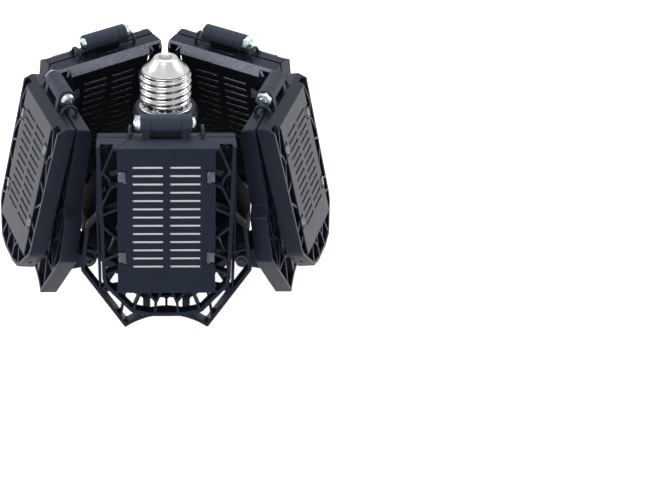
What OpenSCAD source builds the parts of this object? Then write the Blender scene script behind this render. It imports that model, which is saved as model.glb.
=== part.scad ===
// Folding garage lamp on a screw cap: five pairs of hinged LED leaves round one housing.
// The origin is the top of the cap's centre contact, +Z points into the lamp holder,
// and the first pair of leaves faces -Y. The lamp is drawn folded.
// A leaf has its own frame: its hinge axis at the origin, X across it, -Y outward, -Z down it.
// On a leaf, n is a distance outward from the hinge plane, and v is a distance down the leaf.

/* [Layout] */
// Pairs of leaves round the housing
leaf_count = 5; // [3:1:5]
// Distance of the upper hinges from the lamp axis
hinge_r = 54.5; // [54:0.5:62]
// Drop of the upper hinges below the contact
hinge_drop = 9.5; // [6:0.5:12]
// Lean of the folded inner leaves off the lamp axis, in degrees
inner_lean = 10.8; // [10:0.1:14]
// Angle at which the folded outer leaf stands open from the inner one
outer_gape = 2.7; // [1:0.1:6]

/* [Screw cap] */
// Outside diameter over the thread crests
thread_d = 26.4; // [22:0.1:30]
// Thread pitch
thread_pitch = 3.63; // [2.5:0.01:4.5]
// Depth of the thread from crest to root
thread_depth = 1.1; // [0.4:0.05:1.5]
// Height from the contact down to the bottom edge of the shell
cap_h = 26.5; // [24:0.1:32]
// Height of the domed contact above the shell's shoulder
dome_h = 6.9; // [5:0.1:9]
// Diameter of the flat on top of the dome
contact_d = 9.2; // [5:0.1:12]
// Sheet thickness of the shell
shell_t = 0.6; // [0.3:0.05:1]
// Reach of the shell's flared bottom edge beyond the thread crests
flare_w = 0.7; // [0.1:0.1:2.3]

/* [Housing] */
// Depth from the contact down to the front face of the housing
face_drop = 113.5; // [111.5:0.5:116.5]
// Diameter of the opening for the middle lens
lens_hole_d = 57.8; // [50:0.2:60]
// Width of the flat front face round that opening
face_w = 4.1; // [3.1:0.1:6.1]
// Width of the slotted edge round the front face
bezel_w = 4.2; // [3.5:0.1:5.5]
// Depth of the slotted edge
bezel_h = 3; // [1.5:0.1:4]
// Spread of the bowl from the slotted edge to the flange
bowl_w = 5.2; // [3.8:0.1:5.8]
// Depth from the front face back to the flange
flange_back = 17.4; // [17:0.2:20]
// Reach of the flange beyond the bowl
flange_w = 2.1; // [1.3:0.1:3.6]
// Height of the flange
flange_h = 11.6; // [8:0.2:16]
// Wall of the housing shells
housing_t = 2.4; // [1.6:0.1:3]
// Slots round the front edge
slot_count = 28; // [16:1:36]
// Width of a slot of the front edge
slot_w = 2.8; // [1.5:0.1:4]
// Depth of a slot of the front edge
slot_deep = 4.5; // [2:0.1:6]
// Diameter of the neck below the cap
neck_d = 33.6; // [31:0.2:38]

/* [Leaves] */
// Distance from the hinge axis down to a leaf's top face
leaf_top = 6.7; // [6:0.1:8]
// Gap beside each inner leaf at its top, to the plane halfway to its neighbour
leaf_gap = 0.9; // [0.5:0.1:3.1]
// Thickness of a leaf, from the hinge plane to its back
leaf_t = 9; // [8:0.1:9.4]
// Gap from the hinge plane to a leaf's lit face
face_gap = 0.25; // [0.15:0.05:0.6]
// Wall of a leaf's rim
rim_t = 1.8; // [1:0.1:2.4]
// Width of the ribs
rib_w = 1.15; // [0.8:0.05:1.8]
// Thickness of the slotted back plate
plate_t = 1.2; // [0.8:0.1:1.6]
// Reach of the slotted back plate beyond the lens on each side
plate_side = 2.25; // [1.85:0.05:3.85]
// Distance from the points of the inner leaf up to the lower end of the outer one
outer_short = 11; // [7:0.1:14]
// Narrowing of the outer leaf on each side, from its top to its lower corners
outer_taper = 2.4; // [0.2:0.1:4.2]
// Distance from the lower hinge down to the points of the inner leaf
inner_tip = 14.4; // [12.5:0.1:16.5]
// Widening of the inner leaf on each side, from its top to its widest
inner_flare = 8.6; // [5.8:0.1:9]
// Half distance between the points of the inner leaf
inner_half_end = 20.3; // [18:0.1:21]
// Radius of the hollow between those points
hollow_r = 34.5; // [32:0.5:42]

/* [Lenses and boards] */
// Distance from a leaf's side at its top to its lens
lens_side = 12.05; // [11.6:0.05:14.2]
// Distance from the lens down to the lower end of the outer leaf
lens_foot = 15.4; // [14.5:0.1:22.5]
// Wall of the lenses
lens_t = 1.2; // [0.8:0.1:1.6]
// Thickness of the LED boards
board_t = 1.6; // [1:0.1:2]
// Rows of slots in a back plate
vent_rows = 13; // [5:1:15]
// Pitch of those rows
vent_pitch = 4.09; // [3:0.01:4.3]
// Height of a slot in a back plate
vent_h = 1.1; // [0.6:0.1:1.8]
// Distance from a slot in a back plate to the clip window beside it
vent_side = 2.85; // [1.35:0.05:9.35]
// Columns of light chips on a leaf
chip_cols = 5; // [2:1:6]
// Rows of light chips on a leaf
chip_rows = 6; // [2:1:8]
// Width of a light chip
chip_w = 2.8; // [2:0.1:3.4]

/* [Hinges] */
// Thread diameter of the hinge bolts
bolt_d = 4; // [3:0.5:4.5]
// Diameter of the hinge barrels on the leaves
barrel_d = 8.8; // [8:0.1:9.6]
// Length of the middle barrel of an upper hinge
barrel_mid = 14.6; // [12:0.5:16]
// Length of each end barrel of an upper hinge
barrel_side = 4.8; // [4:0.1:6]
// Distance of the lower hinges outside the bowl
pivot_out = 5.8; // [5.6:0.1:7.2]
// Depth of the lower hinges below the flange
pivot_under = 7.2; // [6:0.1:8]
// Diameter of the lugs on the housing
lug_d = 9.4; // [8:0.1:9.8]
// Length of the lugs on the housing
lug_l = 16; // [12:0.2:17]
// Thickness of the inner leaf's arms
arm_t = 3; // [2:0.1:4]
// Diameter of the jumper wires
wire_d = 1.7; // [1:0.1:2]

/* [Hidden] */
// Overrun of cuts
over = 0.5;
// Side clearance of a turning hinge part
side_gap = 0.2;
// Radial clearance of a bolt in its hole, and of a nut on its thread
bolt_gap = 0.05;
thread_gap = 0.03;
// Clearance of a part that drops into a seat
seat_gap = 0.2;
$fn = 48;

// Cap
cap_r = thread_d/2;
shell_root = cap_r - thread_depth;
shell_in = shell_root - shell_t;
insulator_t = 0.4;
insulator_deep = 2.5;
shell_top = -dome_h - insulator_t;
rim_h = 0.5;
band_h = 1.6;
shoulder_h = 1.1;
dome_r = shell_in + shell_t/2;
dome_wall = 1;
// Spread and drop along the dome, from the flat top to the insulator
dome_shares = [[0, 0], [0.15, 0.05], [0.64, 0.57], [0.9, 0.84], [1, 1]];
thread_cols = 36;
thread_steps = 6;
thread_start = 48;

// Housing
face_z = -face_drop;
lens_hole_r = lens_hole_d/2;
lens_deep = 7.5;
seat_z = face_z + lens_deep;
face_r = lens_hole_r + face_w;
bezel_r = face_r + bezel_w;
bowl_r = bezel_r + bowl_w;
flange_r = bowl_r + flange_w;
flange_z = face_z + flange_back;
flange_top = flange_z + flange_h;
slot_wall = 2.4;
spreader_t = 3;
spreader_r = bezel_r - 0.9*housing_t;
collar_h = 5;
collar_inset_w = 0.2;
collar_bevel = 1.4;
collar_bevel_h = 3;
neck_r = neck_d/2;
neck_z = -cap_h - collar_h;
spigot_r = shell_in - seat_gap;
spigot_t = 1.6;
spigot_z = shell_top - insulator_deep - seat_gap;
lip_h = 3;
lip_t = 1.4;
// Radius and height along the upper housing, from the flange to the neck
bell_shares = [[1, 0], [1, 0.04], [0.93, 0.11], [0.7, 0.33], [0.25, 0.62], [0.05, 0.82], [0, 1]];

// Driver
post_h = 9;
post_r = 2.6;
post_share = 0.62;
post_count = 4;
driver_t = 1.6;
driver_r = 0.8*spreader_r;
driver_z = seat_z + spreader_t + post_h;
coil_size = [16, 14, 11];
can_r = 5;
can_h = 16;
supply_r = 0.9;
supply_x = 3;
screw_hole_r = 1.5;
screw_r = 1.4;
screw_head_r = 2.7;
screw_head_h = 1.6;
screw_l = 6;
screw_count = 3;
screw_share = 0.64;

// Middle light
board_margin = 4.7;
centre_board_r = lens_hole_r - board_margin;
ring_shares = [0.42, 0.86];
ring_chips = [8, 18];

// Light chips
chip_h = 0.7;
chip_l = 1.25*chip_w;
centre_chip_z = seat_z - board_t - chip_h;

// Place of the lower hinge in the lamp's frame and in the leaf's own
pivot_z = flange_z - pivot_under;
pivot_r = bowl_at(pivot_z) + pivot_out;
pivot_dr = pivot_r - hinge_r;
pivot_dz = pivot_z + hinge_drop;
pivot_v = pivot_dr*sin(inner_lean) - pivot_dz*cos(inner_lean);
pivot_back = -pivot_dr*cos(inner_lean) - pivot_dz*sin(inner_lean);

// Leaf outlines. The inner leaves fill their ring but for the gap, which is tightest at their backs
back_r = hinge_r + leaf_top*sin(inner_lean) - leaf_t*cos(inner_lean);
leaf_half = back_r*tan(180/leaf_count) - leaf_gap;
outer_half_low = leaf_half - outer_taper;
inner_half_wide = leaf_half + inner_flare;
inner_end = pivot_v + inner_tip;
outer_end = inner_end - outer_short;

// Leaf depths, from the hinge plane
back_n = leaf_t;
rib_n = back_n - plate_t/3;
plate_n = back_n - plate_t;
board_n = plate_n - board_t;
root_n = back_n - plate_t/2;
rib_face = face_gap + rib_w/3;

// Tray of a leaf, which holds the board and the lens
tray_t = 1.4;
lens_half = leaf_half - lens_side;
tray_half = lens_half + seat_gap;
plate_half = lens_half + plate_side;
lens_drop = 2.7;
lens_top = leaf_top + lens_drop;
lens_low = outer_end - lens_foot;
lens_h = lens_low - lens_top;
plate_over = 2;
plate_low = lens_low + tray_t + plate_over;
vent_drop = 12.85;
vent_gap = 3.3;
lens_sink_h = 0.05;
window_shares = [0.162, 0.74];
window_h = 6.8;
window_deep = 2.15;
window_in = lens_half - window_deep;
vent_w = window_in - vent_side - vent_gap/2;
clip_t = 1.9;
clip_h = 4.8;
hook_w = 0.4;

// Slope between a leaf's top face and its back plate
outer_slope = [4.2, 3.5];
inner_slope = [6.7, 5.3];
slope_side = 1.6;
slope_half = plate_half + slope_side;
slope_over_share = 0.2;

// Corners of the leaves as shares of their half width and length, from top to bottom
outer_corner_shares = [[1, 0.782], [0.958, 0.829], [0.552, 0.978], [0.26, 1]];
inner_corner_shares = [[0.813, 0.41], [0.933, 0.461], [1, 0.691]];

// Ribs as pairs of ends, in shares of the half width and length; all but the middle ones are mirrored
outer_rib_shares = [
    [[0.735, 0.02], [0.93, 0.19]], [[0.92, 0.17], [0.815, 0.215]], [[0.82, 0.21], [0.79, 0.27]],
    [[0.8, 0.265], [0.66, 0.235]], [[0.79, 0.255], [0.94, 0.375]], [[0.66, 0.375], [0.94, 0.42]],
    [[0.94, 0.475], [0.66, 0.567]], [[0.66, 0.635], [0.92, 0.675]], [[0.66, 0.73], [0.9, 0.758]],
    [[0.66, 0.825], [0.78, 0.895]], [[0.34, 0.83], [0.5, 0.975]], [[0.29, 0.85], [0.15, 0.92]],
    [[0.045, 0.83], [0.155, 0.925]], [[0.15, 0.915], [0.17, 0.99]]
];
inner_rib_shares = [
    [[0.8, 0.38], [0.775, 0.8]], [[0.545, 0.96], [0.474, 0.787]], [[0.474, 0.787], [0.24, 0.843]],
    [[0.474, 0.787], [0.52, 0.73]], [[0.474, 0.787], [0.76, 0.805]],
    [[0.54, 0.66], [0.75, 0.8]], [[0.54, 0.46], [0.68, 0.63]], [[0.54, 0.675], [0.78, 0.6]],
    [[0.53, 0.535], [0.79, 0.43]], [[0.53, 0.36], [0.8, 0.41]], [[0.8, 0.35], [0.69, 0.278]],
    [[0.69, 0.285], [0.69, 0.21]], [[0.69, 0.217], [0.79, 0.14]], [[0.53, 0.195], [0.69, 0.215]],
    [[0.62, 0.02], [0.79, 0.14]], [[0.778, 0.604], [0.98, 0.578]], [[0.108, 0.74], [0.108, 0.84]]
];
inner_middle_shares = [[[-0.24, 0.834], [0.24, 0.834]], [[0, 0.83], [0, 0.96]]];

// Hinges
bolt_r = bolt_d/2;
hole = bolt_r + bolt_gap;
barrel_r = barrel_d/2;
lug_r = lug_d/2;
lug_block = 0.75*lug_l;
lug_sink = 1;
block_inset_w = 1;
block_n = 0.9*barrel_r;
arm_root = 15;
bar_step = 0.3;
arm_tip = 1.8*lug_r;
leaf_grip = barrel_mid + 2*(side_gap + barrel_side);
arm_grip = lug_l + 2*(side_gap + arm_t);
nut_w = 1.75*bolt_d;
nut_h = 0.7*bolt_d;
tip_l = 0.1*bolt_d;
head_r = 0.8*bolt_d;
head_h = 0.5*bolt_d;
recess_l = 0.85*bolt_d;
recess_w = 0.2*bolt_d;
recess_h = 0.3*bolt_d;

// Jumper wires, which loop over the upper hinge on both sides
wire_r = wire_d/2;
wire_t = leaf_grip/2 + nut_h + tip_l + wire_d;
wire_inner_w = 4;
wire_outer_w = 3;
wire_leg_h = 1.6;
boss_r = wire_d;
boss_h = 0.6;
wire_gap = 0.4;

// Radius of the bowl at height z
function bowl_at(z) = let (share = (z - face_z - bezel_h)/(flange_back - bezel_h))
    bezel_r + share*(bowl_r - bezel_r);

// Point of a leaf: t across, v down from the hinge axis
function at(t, v) = [t, -v];

// Upper edge of a leaf's board, under the sloping band
function board_top(slope) = leaf_top + slope[1] + plate_t + seat_gap;

// Closed outline from its right half, which runs down the leaf
function outline(half) = concat(
    [for (i = [len(half) - 1:-1:0]) half[i]],
    [for (p = half) [-p[0], p[1]]]
);

// Inward normal of an edge, and an outline moved inward by d
function inward(a, b) = let (e = b - a) [-e[1], e[0]]/norm(e);
function inset(p, d) = [for (i = [0:len(p) - 1])
    let (
        a = p[(i + len(p) - 1) % len(p)],
        c = p[(i + 1) % len(p)],
        u = inward(a, p[i]),
        w = inward(p[i], c)
    )
    p[i] + d*(u + w)/(1 + u*w)
];

outer_len = outer_end - leaf_top;
inner_len = inner_end - leaf_top;
outer_ring = outline(concat([at(leaf_half, leaf_top)],
    [for (s = outer_corner_shares) at(s[0]*outer_half_low, leaf_top + s[1]*outer_len)]));
inner_ring = outline(concat([at(leaf_half, leaf_top)],
    [for (s = inner_corner_shares) at(s[0]*inner_half_wide, leaf_top + s[1]*inner_len)],
    [at(inner_half_end, inner_end)]));
hollow_v = inner_end + sqrt(hollow_r*hollow_r - inner_half_end*inner_half_end);

// Copies round the lamp axis
module around(count) {
    for (i = [0:count - 1])
        rotate([0, 0, i*360/count])
            children();
}

// Leaf k's own frame, with the inner leaf's lean or the outer leaf's
module at_leaf(k, lean) {
    rotate([0, 0, (k - 1)*360/leaf_count])
        translate([0, -hinge_r, -hinge_drop])
            rotate([-lean, 0, 0])
                children();
}

module at_inner(k) {
    at_leaf(k, inner_lean) children();
}

module at_outer(k) {
    at_leaf(k, inner_lean + outer_gape) children();
}

// Flat shape on the leaf, raised from depth n0 to n1
module slab(n0, n1) {
    rotate([90, 0, 0])
        translate([0, 0, n0])
            linear_extrude(n1 - n0)
                children();
}

// Side profile in n and v, drawn across the leaf from t0 to t1
module across(t0, t1) {
    translate([t0, 0, 0])
        rotate([0, 90, 0])
            rotate([0, 0, -90])
                linear_extrude(t1 - t0)
                    children();
}

// Round bar across the leaf, from t0 to t1
module rod(r, t0, t1) {
    translate([t0, 0, 0])
        rotate([0, 90, 0])
            cylinder(r = r, h = t1 - t0);
}

// Rectangle on the leaf, from t0 to t1 and from v0 down to v1
module patch(t0, t1, v0, v1) {
    translate([t0, -v1])
        square([t1 - t0, v1 - v0]);
}

// Both copies of a shape that lies right of the leaf's middle
module both() {
    children();
    mirror([1, 0, 0])
        children();
}

// Straight rib between two points
module rib(a, b) {
    side = inward(a, b)*rib_w/2;
    polygon([a + side, a - side, b - side, b + side]);
}

function rib_end(share, half, len_v) = at(share[0]*half, leaf_top + share[1]*len_v);

module rib_net(ends, half, len_v) {
    for (e = ends)
        rib(rib_end(e[0], half, len_v), rib_end(e[1], half, len_v));
}

// Opening of the tray, widened by wall
module tray_hole(wall) {
    side = tray_half + wall;
    patch(-side, side, lens_top - seat_gap - wall, lens_low + seat_gap + wall);
}

module tray_wall() {
    difference() {
        tray_hole(tray_t);
        tray_hole(0);
    }
}

module outer_shape() {
    polygon(outer_ring);
}

// Inside of a rim that is wall thick
module outer_inside(wall) {
    polygon(inset(outer_ring, wall));
}

module inner_shape() {
    difference() {
        polygon(inner_ring);
        translate(at(0, hollow_v))
            circle(r = hollow_r, $fn = 96);
    }
}

module inner_inside(wall) {
    difference() {
        polygon(inset(inner_ring, wall));
        translate(at(0, hollow_v))
            circle(r = hollow_r + wall, $fn = 96);
    }
}

// Back plate with its two columns of slots and its four clip windows
module back_plate(slope) {
    difference() {
        patch(-plate_half, plate_half, leaf_top + slope[1], plate_low);
        both()
            for (row = [0:vent_rows - 1])
                let (v = leaf_top + vent_drop + row*vent_pitch)
                    patch(vent_gap/2, vent_gap/2 + vent_w, v - vent_h/2, v + vent_h/2);
        both()
            for (s = window_shares)
                patch(window_in, plate_half + over, lens_top + s*lens_h, lens_top + s*lens_h + window_h);
    }
}

// Sloping band between the top face and the back plate
module slope_band(slope) {
    across(-slope_half, slope_half)
        polygon([
            [slope[0], leaf_top],
            [back_n, leaf_top + slope[1]],
            [back_n, leaf_top + slope[1] + plate_t],
            [plate_n, leaf_top + slope[1] + plate_t],
            [slope[0] - plate_t, leaf_top + rim_t]
        ]);
}

// Room that the board and the lens leave for the sloping band
module slope_room(slope) {
    across(-slope_half, slope_half)
        polygon([
            [plate_n, leaf_top],
            [plate_n, board_top(slope)],
            [slope[0] - plate_t, leaf_top + rim_t + seat_gap],
            [slope[0] - plate_t, leaf_top]
        ]);
}

// Room above the slope, cut from the rim and the ribs
module slope_cut(slope) {
    dir = [back_n - slope[0], slope[1]];
    low = [back_n, leaf_top + slope[1]] + slope_over_share*dir;
    high = [slope[0], leaf_top] - slope_over_share*dir;
    across(-inner_half_wide, inner_half_wide)
        polygon([high, low, [low[0], high[1]]]);
}

// Barrel of an upper hinge, carried by a block on the leaf's top face up to block_t
module barrel(t0, t1, block_t) {
    rod(barrel_r, t0, t1);
    slab(face_gap, block_n)
        patch(t0, block_t, 0, leaf_top + rim_t/2);
}

module wire_bosses(n) {
    both()
        translate([wire_t, -n, -leaf_top - rim_t/2])
            cylinder(r = boss_r, h = boss_h + rim_t/2);
}

module outer_frame(k) {
    color("#2b2f38")
        at_outer(k)
            difference() {
                union() {
                    difference() {
                        union() {
                            slab(face_gap, rib_n) {
                                difference() {
                                    outer_shape();
                                    outer_inside(rim_t);
                                }
                                tray_wall();
                            }
                            slab(rib_face, rib_n)
                                difference() {
                                    intersection() {
                                        outer_inside(rim_t/2);
                                        both()
                                            rib_net(outer_rib_shares, leaf_half, outer_len);
                                    }
                                    tray_hole(tray_t/2);
                                }
                            slab(plate_n, back_n)
                                back_plate(outer_slope);
                        }
                        slope_cut(outer_slope);
                    }
                    slope_band(outer_slope);
                    both()
                        barrel(barrel_mid/2 + side_gap, leaf_grip/2, leaf_grip/2 - block_inset_w);
                    wire_bosses(wire_outer_w);
                }
                rod(hole, -leaf_grip, leaf_grip);
            }
}

// The two arms that hold the lower hinge, in the mirrored frame of the inner leaf
module arms() {
    both() {
        across(lug_l/2 + side_gap, arm_grip/2)
            polygon([
                [root_n, pivot_v - arm_root/2],
                [pivot_back, pivot_v - arm_tip/2],
                [pivot_back, pivot_v + arm_tip/2],
                [root_n, pivot_v + arm_root/2]
            ]);
        translate([0, -pivot_back, -pivot_v])
            rod(lug_r, lug_l/2 + side_gap, arm_grip/2);
    }
}

// Ribs of the inner leaf, with the two bars that its arms stand on
module inner_net() {
    rib_net(inner_middle_shares, inner_half_wide, inner_len);
    both() {
        rib_net(inner_rib_shares, inner_half_wide, inner_len);
        patch(lug_l/2 + side_gap - bar_step, arm_grip/2 + bar_step, lens_low, inner_end);
    }
}

module inner_frame(k) {
    color("#2b2f38")
        at_inner(k)
            mirror([0, 1, 0])
                difference() {
                    union() {
                        difference() {
                            union() {
                                slab(face_gap, rib_n) {
                                    difference() {
                                        inner_shape();
                                        inner_inside(rim_t);
                                    }
                                    tray_wall();
                                }
                                slab(rib_face, rib_n)
                                    difference() {
                                        intersection() {
                                            inner_inside(rim_t/2);
                                            inner_net();
                                        }
                                        tray_hole(tray_t/2);
                                    }
                                slab(plate_n, back_n)
                                    back_plate(inner_slope);
                            }
                            slope_cut(inner_slope);
                        }
                        slope_band(inner_slope);
                        barrel(-barrel_mid/2, barrel_mid/2, barrel_mid/2);
                        wire_bosses(wire_inner_w);
                        arms();
                    }
                    rod(hole, -leaf_grip, leaf_grip);
                    translate([0, -pivot_back, -pivot_v])
                        rod(hole, -arm_grip, arm_grip);
                }
}

// Board with its light chips, in the frame of the outer leaf
module led_board(slope) {
    top = board_top(slope);
    slab(board_n, plate_n)
        difference() {
            patch(-lens_half, lens_half, top, lens_low);
            both()
                for (s = window_shares)
                    patch(window_in, lens_half + over, lens_top + s*lens_h, lens_top + s*lens_h + window_h);
        }
    slab(board_n - chip_h, board_n)
        for (col = [0:chip_cols - 1])
            for (row = [0:chip_rows - 1])
                let (
                    t = (2*(col + 0.5)/chip_cols - 1)*(window_in - chip_w/2),
                    v = top + (row + 0.5)/chip_rows*(lens_low - top)
                )
                    patch(t - chip_w/2, t + chip_w/2, v - chip_l/2, v + chip_l/2);
}

// Clear box whose four hooks snap over the tray wall, in the windows of the back plate
module leaf_lens(slope) {
    difference() {
        slab(face_gap + lens_sink_h, board_n)
            patch(-lens_half, lens_half, lens_top, lens_low);
        slab(face_gap + lens_t, board_n + over)
            patch(-lens_half + lens_t, lens_half - lens_t, lens_top + lens_t, lens_low - lens_t);
        slope_room(slope);
    }
    both()
        for (s = window_shares)
            let (v = lens_top + s*lens_h + (window_h - clip_h)/2) {
                slab(board_n - lens_t, back_n + hook_w)
                    patch(lens_half - clip_t, lens_half, v, v + clip_h);
                slab(rib_n + lens_sink_h, back_n + hook_w)
                    patch(lens_half - clip_t, plate_half - hook_w, v, v + clip_h);
            }
}

module outer_led_board(k) {
    color("#e4e4ea")
        at_outer(k)
            led_board(outer_slope);
}

module inner_led_board(k) {
    color("#e4e4ea")
        at_inner(k)
            mirror([0, 1, 0])
                led_board(inner_slope);
}

module outer_lens(k) {
    color("#d8e4ec", 0.4)
        at_outer(k)
            leaf_lens(outer_slope);
}

module inner_lens(k) {
    color("#d8e4ec", 0.4)
        at_inner(k)
            mirror([0, 1, 0])
                leaf_lens(inner_slope);
}

// Cross-recessed bolt along X with its nut on the far end; grip is the clamped length
module bolt(grip) {
    difference() {
        union() {
            rod(bolt_r, -grip/2 - nut_h - tip_l, grip/2 + head_h/2);
            rod(head_r, grip/2, grip/2 + head_h);
        }
        for (turn = [0, 90])
            rotate([turn, 0, 0])
                translate([grip/2 + head_h - recess_h, -recess_l/2, -recess_w/2])
                    cube([recess_h + over, recess_l, recess_w]);
    }
    translate([-grip/2 - nut_h, 0, 0])
        rotate([0, 90, 0])
            difference() {
                cylinder(d = nut_w/cos(30), h = nut_h, $fn = 6);
                translate([0, 0, -over])
                    cylinder(r = bolt_r + thread_gap, h = nut_h + 2*over);
            }
}

module leaf_bolt(k) {
    color("#cfe0e3")
        at_outer(k)
            bolt(leaf_grip);
}

module arm_bolt(k) {
    color("#24272d")
        at_inner(k)
            translate([0, pivot_back, -pivot_v])
                bolt(arm_grip);
}

// Two short loops that carry the current over the upper hinge
module jumper_wires(k) {
    bend = (wire_inner_w + wire_outer_w)/2;
    top = leaf_top - wire_leg_h;
    color("#1c1d20")
        at_inner(k)
            both() {
                translate([wire_t, (wire_inner_w - wire_outer_w)/2, -top])
                    rotate([90, 0, 90])
                        rotate_extrude(angle = 180)
                            translate([bend, 0])
                                circle(r = wire_r, $fn = 24);
                translate([wire_t, wire_inner_w, -leaf_top + boss_h])
                    cylinder(r = wire_r, h = wire_leg_h - boss_h, $fn = 24);
                translate([wire_t, -wire_outer_w, -leaf_top + boss_h + wire_gap])
                    cylinder(r = wire_r, h = wire_leg_h - boss_h - wire_gap, $fn = 24);
            }
}

// Height of row i of the threaded shell, from its bottom edge upward, and its radius there
thread_low = -cap_h + rim_h + band_h;
thread_high = shell_top - shoulder_h;
thread_rows = ceil((thread_high - thread_low)/thread_pitch*thread_steps);
function thread_z(i) = thread_low + i/thread_rows*(thread_high - thread_low);
function thread_fade(z) = min(1, 4*(z - thread_low)/thread_pitch, 4*(thread_high - z)/thread_pitch);
function wave(turn, z) = (shell_root + cap_r)/2
    + thread_depth/2*thread_fade(z)*cos(360*(z - thread_high)/thread_pitch - turn + thread_start);
shell_rows = concat(
    [[-cap_h, cap_r + flare_w], [-cap_h + rim_h, cap_r + flare_w]],
    [[-cap_h + 1.5*rim_h, shell_root]],
    [for (i = [0:thread_rows]) [thread_z(i), 0]],
    [[shell_top - shoulder_h/3, shell_root], [shell_top, shell_in + shell_t/2]]
);
shell_points = [for (row = shell_rows) for (c = [0:thread_cols - 1])
    let (turn = c*360/thread_cols, r = row[1] == 0 ? wave(turn, row[0]) : row[1])
        [r*cos(turn), r*sin(turn), row[0]]
];
function side_face(row, c) = let (n = thread_cols, d = (c + 1) % n, a = row*n, b = a + n)
    [[a + c, b + c, b + d], [a + c, b + d, a + d]];
shell_faces = concat(
    [[for (c = [0:thread_cols - 1]) c]],
    [for (row = [0:len(shell_rows) - 2]) for (c = [0:thread_cols - 1]) for (f = side_face(row, c)) f],
    [[for (c = [thread_cols - 1:-1:0]) (len(shell_rows) - 1)*thread_cols + c]]
);

module screw_shell() {
    color("#c9cbcf")
        difference() {
            polyhedron(shell_points, shell_faces);
            translate([0, 0, -cap_h - over])
                cylinder(r = shell_in, h = cap_h + shell_top + 2*over);
        }
}

// Plug that holds the contact clear of the shell
module cap_insulator() {
    color("#1c1d20")
        rotate_extrude()
            polygon([
                [dome_r/3, shell_top - insulator_deep],
                [shell_in - thread_gap, shell_top - insulator_deep],
                [shell_in - thread_gap, shell_top],
                [dome_r, shell_top],
                [dome_r, shell_top + insulator_t],
                [dome_r/3, shell_top + insulator_t]
            ]);
}

// Domed contact, from its flat top out to the insulator
module centre_contact() {
    skirt = dome_r - contact_d/2;
    color("#c9cbcf")
        rotate_extrude()
            polygon(concat(
                [[0, -dome_wall], [contact_d/2, -dome_wall], [dome_r - dome_wall, -dome_h]],
                [for (i = [len(dome_shares) - 1:-1:0])
                    [contact_d/2 + dome_shares[i][0]*skirt, -dome_shares[i][1]*dome_h]],
                [[0, 0]]
            ));
}

module cap_collar() {
    color("#1d1f24")
        rotate_extrude()
            polygon([
                [spigot_r + seat_gap, neck_z],
                [neck_r - collar_inset_w, neck_z],
                [neck_r - collar_inset_w, -cap_h - collar_bevel_h],
                [neck_r - collar_inset_w - collar_bevel, -cap_h],
                [spigot_r + seat_gap, -cap_h]
            ]);
}

// Bell from the flange up to the neck, with the spigot that carries the screw shell
module upper_housing() {
    rise = neck_z - flange_top;
    bell = [for (s = bell_shares) [neck_r + s[0]*(flange_r - neck_r), flange_top + s[1]*rise]];
    last = len(bell) - 1;
    lip_r = flange_r - housing_t - seat_gap;
    color("#23262c")
        rotate_extrude()
            polygon(concat(
                bell,
                [
                    [spigot_r, neck_z],
                    [spigot_r, spigot_z],
                    [spigot_r - spigot_t, spigot_z],
                    [spigot_r - spigot_t, neck_z - housing_t]
                ],
                [for (i = [last:-1:1]) bell[i] - [housing_t, i == last ? housing_t : 0]],
                [
                    [lip_r - lip_t, flange_top + lip_t],
                    [lip_r - lip_t, flange_top - lip_h],
                    [lip_r, flange_top - lip_h],
                    [lip_r, flange_top]
                ]
            ));
}

// Lug of the lower housing with the block that joins it to the bowl
module lug() {
    low = pivot_z - 0.8*lug_r;
    high = pivot_z + 0.8*lug_r;
    translate([0, -pivot_r, pivot_z])
        rod(lug_r, -lug_l/2, lug_l/2);
    across(-lug_block/2, lug_block/2)
        polygon([
            [pivot_r, -low],
            [pivot_r, -high],
            [bowl_at(high) - lug_sink, -high],
            [bowl_at(low) - lug_sink, -low]
        ]);
}

// Bowl with the slotted front edge, the flange and the lugs of the lower hinges
module lower_housing() {
    seat_r = spreader_r + seat_gap;
    color("#23262c")
        difference() {
            union() {
                rotate_extrude($fn = 96)
                    polygon([
                        [lens_hole_r, face_z],
                        [face_r, face_z],
                        [bezel_r, face_z + bezel_h],
                        [bowl_r, flange_z],
                        [flange_r, flange_z],
                        [flange_r, flange_top],
                        [flange_r - housing_t, flange_top],
                        [flange_r - housing_t, flange_z + housing_t],
                        [bowl_r - housing_t, flange_z],
                        [seat_r, seat_z + spreader_t],
                        [seat_r, seat_z],
                        [lens_hole_r, seat_z]
                    ]);
                around(leaf_count)
                    lug();
            }
            around(leaf_count)
                translate([0, -pivot_r, pivot_z])
                    rod(hole, -lug_l, lug_l);
            around(slot_count)
                translate([lens_hole_r + slot_wall, -slot_w/2, face_z - over])
                    cube([flange_r - lens_hole_r, slot_w, slot_deep + over]);
        }
}

// Aluminium disc that takes the heat of the middle board and carries the driver
module heat_spreader() {
    color("#b4b7bb")
        difference() {
            union() {
                translate([0, 0, seat_z])
                    cylinder(r = spreader_r, h = spreader_t);
                around(post_count)
                    translate([post_share*spreader_r, 0, seat_z + spreader_t])
                        cylinder(r = post_r, h = post_h);
            }
            translate([0, 0, seat_z - over])
                cylinder(r = post_r, h = spreader_t + 2*over);
            around(screw_count)
                translate([screw_share*centre_board_r, 0, seat_z - over])
                    cylinder(r = screw_hole_r, h = spreader_t + 2*over);
        }
}

// Driver board with its coil, its capacitor and its converter block
module driver_board() {
    top = driver_z + driver_t;
    color("#2f6b45") {
        translate([0, 0, driver_z])
            cylinder(r = driver_r, h = driver_t);
        translate([-coil_size[0] - can_r, -coil_size[1]/2, top])
            cube(coil_size);
        translate([can_r*2, can_r, top])
            cylinder(r = can_r, h = can_h);
        translate([can_r, -2*can_r - coil_size[2]/2, top])
            cube([coil_size[1], coil_size[2]/2, coil_size[2]/2]);
    }
}

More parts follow.
